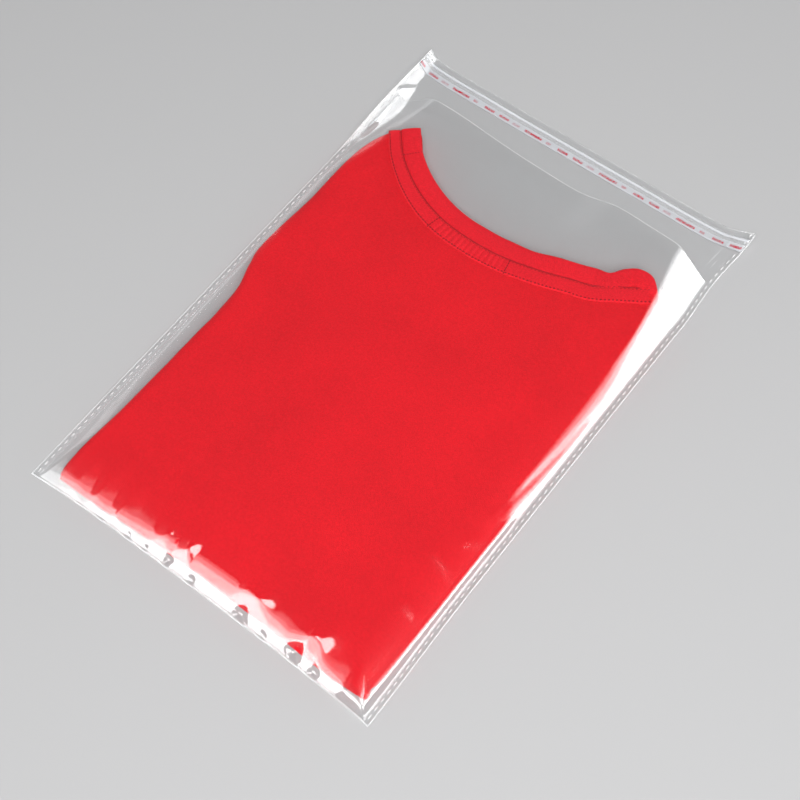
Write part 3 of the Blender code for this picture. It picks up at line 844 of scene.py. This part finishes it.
def thread(name, colour):
    """Spun polyester thread: fine twist as bump, a little glossier than the knit."""
    material, tree, shader = new_material(name)
    place = add_node(tree, "ShaderNodeTexCoord", {})
    twist_inputs = {"Vector": place.outputs["Object"], "Scale": TWIST_SCALE}
    twist = add_node(tree, "ShaderNodeTexWave", twist_inputs, bands_direction="DIAGONAL")
    relief = {"Height": twist.outputs["Fac"], "Strength": 0.6, "Distance": TWIST_RELIEF}
    finish = {
        "Base Color": colour + (1.0,),
        "Roughness": 0.85,
        "Specular IOR Level": 0.15,
        "Normal": add_node(tree, "ShaderNodeBump", relief).outputs["Normal"],
    }
    set_inputs(tree, shader, finish)
    return material


def tape_path(share):
    """A line along the tape at this share of its width, lying on its face."""
    k = share * (tape_top.shape[1] - 1)
    low = int(k)
    high = min(low + 1, tape_top.shape[1] - 1)
    return tape_top[:, low] * (1 - (k - low)) + tape_top[:, high] * (k - low)


thread_red = thread("red_thread", THREAD_RED)
# The needle holes, the tacks and the rib's join are drawn in this dark red: painted shade sunk into them.
stitch_shade_red = thread("needle_hole_shade", STITCH_SHADE_RED)
rows = [tape_path(share) for share in STITCH_ROWS]
half_stitch = int(round(STITCH_PITCH / 2 / TAPE_STEP))
stitches = marks_along(
    "tape_stitches", rows, STITCH_LENGTH, STITCH_WIDTH, STITCH_HEIGHT, STITCH_PITCH, thread_red
)
hole_shade_marks = marks_along(
    "needle_hole_shade", [rows[1][half_stitch:]], HOLE_SIZE, HOLE_WIDTH, HOLE_HEIGHT, STITCH_PITCH, stitch_shade_red
)
tack_lines = [tape_top[int(round(share * (len(tape_top) - 1))), 1:-1] for share in TACKS]
tacks = marks_along("label_tacks", tack_lines, TACK_LENGTH, TACK_WIDTH, TACK_HEIGHT, TIGHT_PITCH, stitch_shade_red)
k = int(np.searchsorted(neck_reach, JOIN_AT))
x = neck[k, 0] + rib_inward[k, 0] * JOIN_REACH
y = neck[k, 1] + rib_inward[k, 1] * JOIN_REACH
join_line = np.column_stack([x, y, shirt_top(x, y) + RIB_PROUD + RIB_DEPTH])
join = marks_along("rib_join", [join_line], JOIN_LENGTH, JOIN_WIDTH, JOIN_HEIGHT, TIGHT_PITCH, stitch_shade_red)
# A dark thread line in the ditch where the band is sewn on: partly the sunk thread, partly painted shade of
# the ditch.
ditch_reach = DITCH_AT + DITCH_WIDTH * np.array([-0.5, 0.5, 0.5, -0.5])
x = tape_line[:, :1] + inward[:, :1] * ditch_reach
y = tape_line[:, 1:] + inward[:, 1:] * ditch_reach
z = shirt_top(x, y) + DITCH_DEPTH * np.array([1, 1, -1, -1])
verts = np.stack([x, y, z], axis=2).reshape(-1, 3)
ditch_thread_and_shade = new_mesh("neck_seam_thread_and_shade", verts, tube_faces(len(x), len(ditch_reach)), thread_red)
for piece in (stitches, hole_shade_marks, tacks, join, ditch_thread_and_shade):
    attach(piece, "root")

# Bag film
# One web of clear stretched polypropylene: folded at the bottom, its layers melted together along
# both sides, the back layer running on past the mouth as the flap. The filled shirt gives it its form.
BEAD_WIDTH = 0.8 * MM
BEAD_HEIGHT = 0.25 * MM
EDGE_STEPS = (4.0, 3.75, 3.5, 3.2, 2.2, 1.1)
BEAD_STEPS = 3
FINE_EDGE = 26 * MM
LIP = 0.4 * MM
STEPS_ACROSS = (18, 112, 18)
STEPS_ALONG = (30, 94, 1)
FLAP_STEPS = 22
MOUTH_BOW = 2.7 * MM
CURL_DRAW = 0.3
MOUTH_DRAW = 2.6 * MM
MOUTH_DRAW_RUN = 38 * MM
MOUTH_DRAW_FROM = 0.6
FILM_TINT = (0.992, 0.994, 0.995)
FILM_GLOSS = 0.045
FILM_ROUGHNESS = 0.13
EDGE_SCATTER_AND_HIGHLIGHT_TINT = (0.96, 0.97, 0.98)
GLOSS_UP_TO = 0.30
GLOSS_GONE_AT = 0.65
GLOSS_LEAST = 0.004


def mouth_y(x):
    """The mouth's edge: it bows back towards the welds."""
    return MOUTH_Y - MOUTH_BOW * np.abs(x / POCKET_HALF) ** 3


def flap_end_y(x):
    """The flap's cut end."""
    return END_Y - CORNER_OUT * (1 - np.abs(2 * x / BAG_WIDTH) ** 8)


def drawn(x, y):
    """Where a place of the flat film ends up across the bag: curls and the mouth's right end draw it in."""
    near_right = ease((x / POCKET_HALF - MOUTH_DRAW_FROM) / (1 - MOUTH_DRAW_FROM))
    return x + CURL_DRAW * left_curl(x, y) - MOUTH_DRAW * near_right * bump((y - MOUTH_Y) / MOUTH_DRAW_RUN)


def spread(stops, steps):
    """Places between stops, each stretch in its own number of steps."""
    runs = [np.linspace(a, b, n, endpoint=False) for a, b, n in zip(stops, stops[1:], steps)]
    return np.concatenate(runs + [[stops[-1]]])


fine_x = POCKET_HALF - FINE_EDGE
pocket_x = spread((-POCKET_HALF, -fine_x, fine_x, POCKET_HALF), STEPS_ACROSS)
margin = np.array(EDGE_STEPS) * MM
nominal = np.concatenate([-POCKET_HALF - margin, pocket_x, POCKET_HALF + margin[::-1]])
weld_low = len(margin)
weld_high = weld_low + len(pocket_x) - 1
pocket_length = MOUTH_Y - BOTTOM_Y
along_pocket = spread((0, FINE_EDGE / pocket_length, 1 - LIP / pocket_length, 1), STEPS_ALONG)
along_flap = spread((0, 1), (FLAP_STEPS,))[1:]
rows_y = [bottom_y(nominal) + v * (mouth_y(nominal) - bottom_y(nominal)) for v in along_pocket]
rows_y += [mouth_y(nominal) + v * (flap_end_y(nominal) - mouth_y(nominal)) for v in along_flap]
grid_y = np.array(rows_y)
outside = np.maximum(0.0, np.abs(nominal) - POCKET_HALF)
grid_x = np.clip(nominal / POCKET_HALF, -1, 1) * (side_x(grid_y) - WELD_MARGIN) + np.sign(nominal) * outside
mouth_row = len(along_pocket) - 1
rows_all, columns_all = grid_x.shape
back = back_z(grid_x, grid_y)
front = front_z(grid_x, grid_y)
from_cut = side_x(grid_y) - np.abs(grid_x)
bead = BEAD_HEIGHT * np.sqrt(np.clip(1 - ((from_cut - BEAD_WIDTH / 2) / (BEAD_WIDTH / 2)) ** 2, 0, 1))
drawn_x = drawn(grid_x, grid_y)

verts = []
index = {}


def corner(skin, i, j, z):
    """Index of a vertex of one skin of the film at row i and column j, made the first time."""
    key = (skin, i, j)
    if key not in index:
        index[key] = len(verts)
        verts.append((drawn_x[i, j], grid_y[i, j], z))
    return index[key]


def under(i, j):
    """The film's face on the table side."""
    return corner("under", i, j, back[i, j] - FILM / 2)


def top(i, j):
    """Outer face: the front panel over the pocket, the fused margin beside it, the flap beyond."""
    if i <= mouth_row:
        if weld_low < j < weld_high and i > 0:
            return corner("top", i, j, front[i, j] + FILM / 2)
        return corner("top", i, j, back[i, j] + 1.5 * FILM + bead[i, j])
    return corner("top", i, j, back[i, j] + FILM / 2 + bead[i, j])


def lining(side, i, j):
    """Inner faces: under the front panel and on the back panel, which meet at the welds and the fold."""
    if j in (weld_low, weld_high) or i == 1:
        return corner("lining", i, j, back[i, j] + FILM / 2)
    if side == "front":
        return corner("front", i, j, front[i, j] - FILM / 2)
    if i > mouth_row:
        return top(i, j)
    return corner("back", i, j, back[i, j] + FILM / 2)


faces = []
bright = []


def face(*corners, edge=False):
    """One face of the film; edge faces take the whitish edge material, where cut edges scatter a little light
    and which paints the highlights along the bead, the fold and the mouth's lip.
    """
    faces.append(corners)
    bright.append(edge)


for i in range(rows_all - 1):
    for j in range(columns_all - 1):
        cut = j < BEAD_STEPS or j >= columns_all - 1 - BEAD_STEPS
        face(under(i, j), under(i + 1, j), under(i + 1, j + 1), under(i, j + 1))
        pocket = weld_low <= j < weld_high
        if i < mouth_row or not pocket:
            lip = pocket and i == mouth_row - 1
            face(top(i, j), top(i, j + 1), top(i + 1, j + 1), top(i + 1, j), edge=cut or lip or i == 0)
        if pocket and i >= 1:
            if i < mouth_row:
                front_quad = [(i, j), (i + 1, j), (i + 1, j + 1), (i, j + 1)]
                face(*(lining("front", *place) for place in front_quad))
            back_quad = [(i, j), (i, j + 1), (i + 1, j + 1), (i + 1, j)]
            face(*(lining("back", *place) for place in back_quad))
for i in range(rows_all - 1):
    face(under(i, 0), top(i, 0), top(i + 1, 0), under(i + 1, 0), edge=True)
    j = columns_all - 1
    face(under(i, j), under(i + 1, j), top(i + 1, j), top(i, j), edge=True)
for j in range(columns_all - 1):
    face(under(0, j), under(0, j + 1), top(0, j + 1), top(0, j), edge=True)
    i = rows_all - 1
    face(under(i, j), top(i, j), top(i, j + 1), under(i, j + 1), edge=True)
for j in range(weld_low, weld_high):
    lip_quad = (lining("front", mouth_row, j + 1), lining("front", mouth_row, j))
    face(top(mouth_row, j), top(mouth_row, j + 1), *lip_quad, edge=True)
for j in (weld_low, weld_high):
    face(top(mouth_row, j), lining("back", mouth_row, j), top(mouth_row + 1, j))


def clear_film(name, tint, base_gloss, roughness):
    """Clear film: colours pass through it, and it mirrors the lamps where it is looked at squarely."""
    material, tree, shader = new_material(name)
    tree.nodes.remove(shader)
    passing = add_node(tree, "ShaderNodeBsdfTransparent", {"Color": tint + (1.0,)})
    shine = {"Color": (1.0, 1.0, 1.0, 1.0), "Roughness": roughness}
    gloss = add_node(tree, "ShaderNodeBsdfGlossy", shine)
    facing = add_node(tree, "ShaderNodeLayerWeight", {"Blend": 0.5})
    falloff = {
        "Value": facing.outputs["Facing"],
        "From Min": GLOSS_UP_TO,
        "From Max": GLOSS_GONE_AT,
        "To Min": base_gloss,
        "To Max": GLOSS_LEAST,
    }
    mirror = add_node(tree, "ShaderNodeMapRange", falloff, interpolation_type="SMOOTHSTEP")
    layers = {"Fac": mirror.outputs["Result"], 1: passing.outputs["BSDF"], 2: gloss.outputs["BSDF"]}
    mixed = add_node(tree, "ShaderNodeMixShader", layers)
    set_inputs(tree, tree.nodes["Material Output"], {"Surface": mixed.outputs["Shader"]})
    return material


def hazy(name, colour, solid, roughness):
    """Milky film: a share of it is solid and scatters, the rest lets light through."""
    material, tree, shader = new_material(name)
    set_inputs(tree, shader, {"Base Color": colour + (1.0,), "Roughness": roughness, "Alpha": solid})
    return material


film_clear = clear_film("clear_film", FILM_TINT, FILM_GLOSS, FILM_ROUGHNESS)
# The whitish edge material on the cut edges, the bead, the fold and the mouth's lip is partly the light that
# cut film scatters and partly painted highlight: it stands for the bright lines these edges catch.
film_edge_scatter_and_highlight = hazy("film_edge_scatter_and_highlight", EDGE_SCATTER_AND_HIGHLIGHT_TINT, solid=0.65, roughness=0.25)
film = new_mesh("bag_film_web", verts, faces, film_clear, film_edge_scatter_and_highlight)
film.data.polygons.foreach_set("material_index", [int(b) for b in bright])
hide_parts("bag_film")
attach(film, "root")

# Weld dashes
# The hot sealing bar presses a row of short dashes into each fused side margin. They scatter light,
# so they read as whitish marks beside the bright cut edge.
DASH_LENGTH = 3.6 * MM
DASH_GAP = 2.0 * MM
DASH_WIDTH = 0.9 * MM
DASH_HEIGHT = 0.34 * MM
DASH_INSET = 2.6 * MM
DASH_RAISE = 0.02 * MM
DASH_PATH_STEPS = 240
DASH_TINT = (0.98, 0.98, 0.99)

dash_lines = []
for side in (-1, 1):
    y = np.linspace(BOTTOM_Y + CORNER_OUT + DASH_GAP, END_Y - DASH_GAP, DASH_PATH_STEPS)
    x = side * (side_x(y) - DASH_INSET)
    lift = np.where(y < MOUTH_Y, 1.5 * FILM, 0.5 * FILM)
    dash_lines.append(np.column_stack([drawn(x, y), y, back_z(x, y) + lift + DASH_RAISE]))
dashes = marks_along(
    "weld_dashes",
    dash_lines,
    DASH_LENGTH,
    DASH_WIDTH,
    DASH_HEIGHT,
    DASH_LENGTH + DASH_GAP,
    hazy("pressed_film", DASH_TINT, solid=0.85, roughness=0.3),
)
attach(dashes, "root")

# Adhesive strip
# A line of clear pressure-sensitive adhesive, coated across the flap near its end. It stays tacky, and
# seals the bag when the flap is folded over the mouth.
ADHESIVE_FROM_END = 5.5 * MM
ADHESIVE_WIDTH = 5.0 * MM
ADHESIVE_THICKNESS = 0.10 * MM
ADHESIVE_LIFT = 0.26 * MM
ADHESIVE_TINT = (0.86, 0.87, 0.86)
STRIP_END_GAP = 1.0 * MM
STRIP_PLACES = 281
STRIP_ROWS = 41


def flap_strip(name, from_end, width, thickness, lift, arch, material):
    """A thin strip across the flap that follows its end, its curl and its wave."""
    x = np.linspace(-1, 1, STRIP_PLACES) * (BAG_WIDTH / 2 - STRIP_END_GAP)
    upper = []
    for share in np.linspace(0.0, 1.0, STRIP_ROWS):
        y = flap_end_y(x) - from_end - width * (1 - share)
        z = back_z(x, y) + FILM / 2 + lift + arch(share)
        upper.append(np.column_stack([drawn(x, y), y, z]))
    upper = np.array(upper)
    lower = upper[::-1].copy()
    lower[:, :, 2] -= thickness
    body = np.swapaxes(np.concatenate([upper, lower]), 0, 1)
    return new_mesh(name, body.reshape(-1, 3), tube_faces(*body.shape[:2], capped=True), material)


adhesive = flap_strip(
    "adhesive_line",
    ADHESIVE_FROM_END,
    ADHESIVE_WIDTH,
    ADHESIVE_THICKNESS,
    ADHESIVE_LIFT,
    lambda share: 0.0,
    hazy("adhesive", ADHESIVE_TINT, solid=0.22, roughness=0.25),
)
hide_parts("adhesive_strip")
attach(adhesive, "root")

# Release strip
# A hazy film tape over the adhesive, wider than it so that a finger can lift its free edge.
# It is printed with a broken red guide line.
LINER_WIDTH = 10.0 * MM
LINER_FROM_END = 4.5 * MM
LINER_THICKNESS = 0.10 * MM
LINER_LIFT = 0.55 * MM
LINER_RIDGE = 0.35 * MM
LINER_RIDGE_AT = 0.85
LINER_RIDGE_HALF = 0.07
LINER_TINT = (0.86, 0.88, 0.92, 1.0)
GUIDE_FROM_EDGE = 2.3 * MM
GUIDE_WIDTH = 1.7 * MM
GUIDE_PERIOD = 58 * MM
GUIDE_SHIFT = 10.2
GUIDE_INK = (0.60, 0.02, 0.05, 1.0)

# The guide line's bars: where each bar or gap starts in the period, and how strongly it is printed
GUIDE_BARS = (
    (0.0, 1),
    (0.13, 0),
    (0.20, 1),
    (0.33, 0),
    (0.38, 0.5),
    (0.48, 0),
    (0.55, 1),
    (0.78, 0),
    (0.84, 0.7),
    (0.90, 0),
)

# Bands of haze across the tape: from and to in shares of its width, and how solid each is. The near solid
# third band lies on the ridge and is painted highlight, the bright line the ridge catches.
HAZE_AND_HIGHLIGHT_BANDS = ((0.0, 0.50, 0.50), (0.50, 0.78, 0.10), (0.78, 0.92, 0.85), (0.92, 1.01, 0.12))
HAZE_OVERLAP = 0.01


def release_film(name):
    """Film that is hazy or clear by its haze attribute, which also paints a whitish highlight along the
    ridge, with groups of plain red bars on its guide line.
    """
    material, tree, shader = new_material(name)
    spot = add_node(tree, "ShaderNodeTexCoord", {}).outputs["Object"]
    split = add_node(tree, "ShaderNodeSeparateXYZ", {"Vector": spot})
    periods = {0: split.outputs["X"], 1: 1 / GUIDE_PERIOD, 2: GUIDE_SHIFT}
    repeat = add_node(tree, "ShaderNodeMath", periods, operation="MULTIPLY_ADD")
    part = add_node(tree, "ShaderNodeMath", {0: repeat.outputs["Value"]}, operation="FRACT")
    bars = add_node(tree, "ShaderNodeValToRGB", {"Fac": part.outputs["Value"]})
    bars.color_ramp.interpolation = "CONSTANT"
    while len(bars.color_ramp.elements) < len(GUIDE_BARS):
        bars.color_ramp.elements.new(0.5)
    for element, (position, shade) in zip(bars.color_ramp.elements, GUIDE_BARS):
        element.position = position
        element.color = (shade, shade, shade, 1.0)
    worn = add_node(tree, "ShaderNodeTexNoise", {"Vector": spot, "Scale": 1100.0})
    wear = {"Value": worn.outputs["Fac"], "From Min": 0.38, "From Max": 0.58, "To Min": 0.25}
    fade = add_node(tree, "ShaderNodeMapRange", wear)
    guide, haze_and_highlight = (
        add_node(tree, "ShaderNodeAttribute", {}, attribute_name=label).outputs["Fac"]
        for label in ("guide", "haze_and_highlight")
    )
    lined = add_node(tree, "ShaderNodeMath", {0: bars.outputs["Color"], 1: guide}, operation="MULTIPLY")
    printed = {0: lined.outputs["Value"], 1: fade.outputs["Result"]}
    inked = add_node(tree, "ShaderNodeMath", printed, operation="MULTIPLY").outputs["Value"]
    solid = add_node(tree, "ShaderNodeMath", {0: inked, 1: haze_and_highlight}, operation="MAXIMUM")
    colour = tinted(tree, {0: inked, 6: LINER_TINT, 7: GUIDE_INK})
    set_inputs(tree, shader, {"Base Color": colour, "Roughness": 0.2, "Alpha": solid.outputs["Value"]})
    return material


def liner_ridge(share):
    """The soft ridge near the tape's far edge."""
    return LINER_RIDGE * math.exp(-(((share - LINER_RIDGE_AT) / LINER_RIDGE_HALF) ** 2))


release = flap_strip(
    "release_tape",
    LINER_FROM_END,
    LINER_WIDTH,
    LINER_THICKNESS,
    LINER_LIFT,
    liner_ridge,
    release_film("release_film"),
)
spots = np.zeros(3 * len(release.data.vertices))
release.data.vertices.foreach_get("co", spots)
spots = spots.reshape(-1, 3)
from_edge = spots[:, 1] - (flap_end_y(spots[:, 0]) - LINER_FROM_END - LINER_WIDTH)
guide_level = (np.abs(from_edge - GUIDE_FROM_EDGE) < GUIDE_WIDTH / 2).astype(float)
# Haze by bands across the tape; the band on the ridge is painted highlight.
haze_and_highlight_level = np.zeros(len(spots))
for low, high, solid in HAZE_AND_HIGHLIGHT_BANDS:
    band = (from_edge / LINER_WIDTH >= low - HAZE_OVERLAP) & (from_edge / LINER_WIDTH < high)
    haze_and_highlight_level[band] = solid
for label, values in (("guide", guide_level), ("haze_and_highlight", haze_and_highlight_level)):
    layer = release.data.attributes.new(label, "FLOAT", "POINT")
    layer.data.foreach_set("value", values)
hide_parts("release_strip")
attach(release, "root")

# Studio
# A pale plain floor that glows far out, a soft lamp above the camera and a plain surround light the cloth
# and the floor. Two tall stacks of soft panels, at the right and the front, and a low panel at the left are
# there for gloss alone: the film mirrors them.
FLOOR_SIZE = 6.0
FLOOR_BELOW = 0.1 * MM
FLOOR_GREY = (0.56, 0.56, 0.565, 1.0)
GLOW_GREY = (0.53, 0.53, 0.535, 1.0)
GLOW_FROM = 0.6
GLOW_FULL = 1.6
LOW_SKY = 0.95
HIGH_SKY = 0.07
LOW_SKY_TO = 0.1
HIGH_SKY_FROM = 0.75
CAMERA_SCALE = 0.99
CAMERA_PLACE = (335.3, -367.1, 875.0)
CAMERA_RIGHT = (0.78840133, 0.61341244, -0.04635212)
CAMERA_DOWN = (0.5254515, -0.71069481, -0.46777517)
CAMERA_LENS = 74.54
CAMERA_SENSOR = 36
NEAREST_SEEN = 0.01
MOST_FILM_LAYERS = 24

plain, tree, matt = new_material("floor")
set_inputs(tree, matt, {"Base Color": FLOOR_GREY, "Roughness": 1.0, "Specular IOR Level": 0.0})
place = add_node(tree, "ShaderNodeTexCoord", {})
distance = add_node(tree, "ShaderNodeVectorMath", {0: place.outputs["Object"]}, operation="LENGTH")
glow_range = {"Value": distance.outputs["Value"], "From Min": GLOW_FROM, "From Max": GLOW_FULL}
far = add_node(tree, "ShaderNodeMapRange", glow_range, interpolation_type="SMOOTHSTEP")
far_glow = add_node(tree, "ShaderNodeEmission", {"Color": GLOW_GREY})
near_and_far = {"Fac": far.outputs["Result"], 1: matt.outputs["BSDF"], 2: far_glow.outputs["Emission"]}
floor_mix = add_node(tree, "ShaderNodeMixShader", near_and_far)
set_inputs(tree, tree.nodes["Material Output"], {"Surface": floor_mix.outputs["Shader"]})
half = FLOOR_SIZE / 2
corners = ((-half, -half), (half, -half), (half, half), (-half, half))
floor = new_mesh("floor", [(*spot, -FLOOR_BELOW) for spot in corners], [(0, 1, 2, 3)], plain)

world = bpy.data.worlds.new("studio")
bpy.context.scene.world = world
world.use_nodes = True
tree = world.node_tree
where = add_node(tree, "ShaderNodeTexCoord", {})
split = add_node(tree, "ShaderNodeSeparateXYZ", {"Vector": where.outputs["Generated"]})
sky = {
    "Value": split.outputs["Z"],
    "From Min": LOW_SKY_TO,
    "From Max": HIGH_SKY_FROM,
    "To Min": LOW_SKY,
    "To Max": HIGH_SKY,
}
height = add_node(tree, "ShaderNodeMapRange", sky, interpolation_type="SMOOTHSTEP")
light = {"Color": (1.0, 1.0, 1.0, 1.0), "Strength": height.outputs["Result"]}
set_inputs(tree, tree.nodes["Background"], light)

# The lamps: a panel's watts for each square metre and step of brightness, then places and sizes in metres
LAMP_GAIN = 4
KEY_PLACE = (0.75, -0.65, 1.75)
KEY_SIDE = 1.3
KEY_LEVEL = 6.2
RIGHT_PANEL_X = 1.15
RIGHT_PANEL_Y = 0.50
RIGHT_PANEL_WIDTH = 2.2
FRONT_PANEL_X = -0.40
FRONT_PANEL_Y = -1.15
FRONT_PANEL_WIDTH = 1.7
FRONT_SHARE = 0.8
LEFT_PANEL_X = -1.15
LEFT_PANEL_Y = 0.40
LEFT_PANEL_Z = 0.35
LEFT_PANEL_WIDTH = 1.3
LEFT_PANEL_HEIGHT = 0.60
LEFT_PANEL_LEVEL = 0.8

# The bands of the tall stacks: from and to above the floor in metres, and how bright each is
PANEL_BANDS = ((0.02, 0.50, 9.0), (0.50, 0.95, 5.0), (0.95, 1.45, 2.2), (1.45, 2.0, 0.9))


def soft_lamp(name, place, aim, width, height, radiance, film_only=True):
    """A soft panel that faces its aim; a film lamp shows in mirroring surfaces and lights nothing else."""
    data = bpy.data.lights.new(name, "AREA")
    data.shape = "RECTANGLE"
    data.size = width
    data.size_y = height
    data.energy = radiance * LAMP_GAIN * width * height
    lamp = in_scene(name, data)
    lamp.location = place
    away = lamp.location - Vector(aim)
    lamp.rotation_euler = away.to_track_quat("Z", "Y").to_euler()
    lamp.visible_camera = False
    lamp.visible_diffuse = not film_only


soft_lamp("key", KEY_PLACE, (0, 0, 0), KEY_SIDE, KEY_SIDE, KEY_LEVEL, film_only=False)
for low, high, level in PANEL_BANDS:
    z = (low + high) / 2
    right_at, right_aim = (RIGHT_PANEL_X, RIGHT_PANEL_Y, z), (0, RIGHT_PANEL_Y, z)
    front_at, front_aim = (FRONT_PANEL_X, FRONT_PANEL_Y, z), (FRONT_PANEL_X, 0, z)
    soft_lamp(f"right_{low}", right_at, right_aim, RIGHT_PANEL_WIDTH, high - low, level)
    soft_lamp(f"front_{low}", front_at, front_aim, FRONT_PANEL_WIDTH, high - low, FRONT_SHARE * level)
left_at, left_aim = (LEFT_PANEL_X, LEFT_PANEL_Y, LEFT_PANEL_Z), (0, LEFT_PANEL_Y, LEFT_PANEL_Z)
soft_lamp("panel_left", left_at, left_aim, LEFT_PANEL_WIDTH, LEFT_PANEL_HEIGHT, LEFT_PANEL_LEVEL)

data = bpy.data.cameras.new("camera")
data.lens = CAMERA_LENS
data.sensor_width = CAMERA_SENSOR
data.clip_start = NEAREST_SEEN
camera = in_scene("camera", data)
right = Vector(CAMERA_RIGHT)
upright = -Vector(CAMERA_DOWN)
turn = Matrix((right, upright, right.cross(upright))).transposed()
camera.matrix_world = Matrix.Translation(Vector(CAMERA_PLACE) * MM * CAMERA_SCALE) @ turn.to_4x4()
bpy.context.scene.camera = camera
bpy.context.scene.view_settings.view_transform = "Standard"
bpy.context.scene.cycles.transparent_max_bounces = MOST_FILM_LAYERS
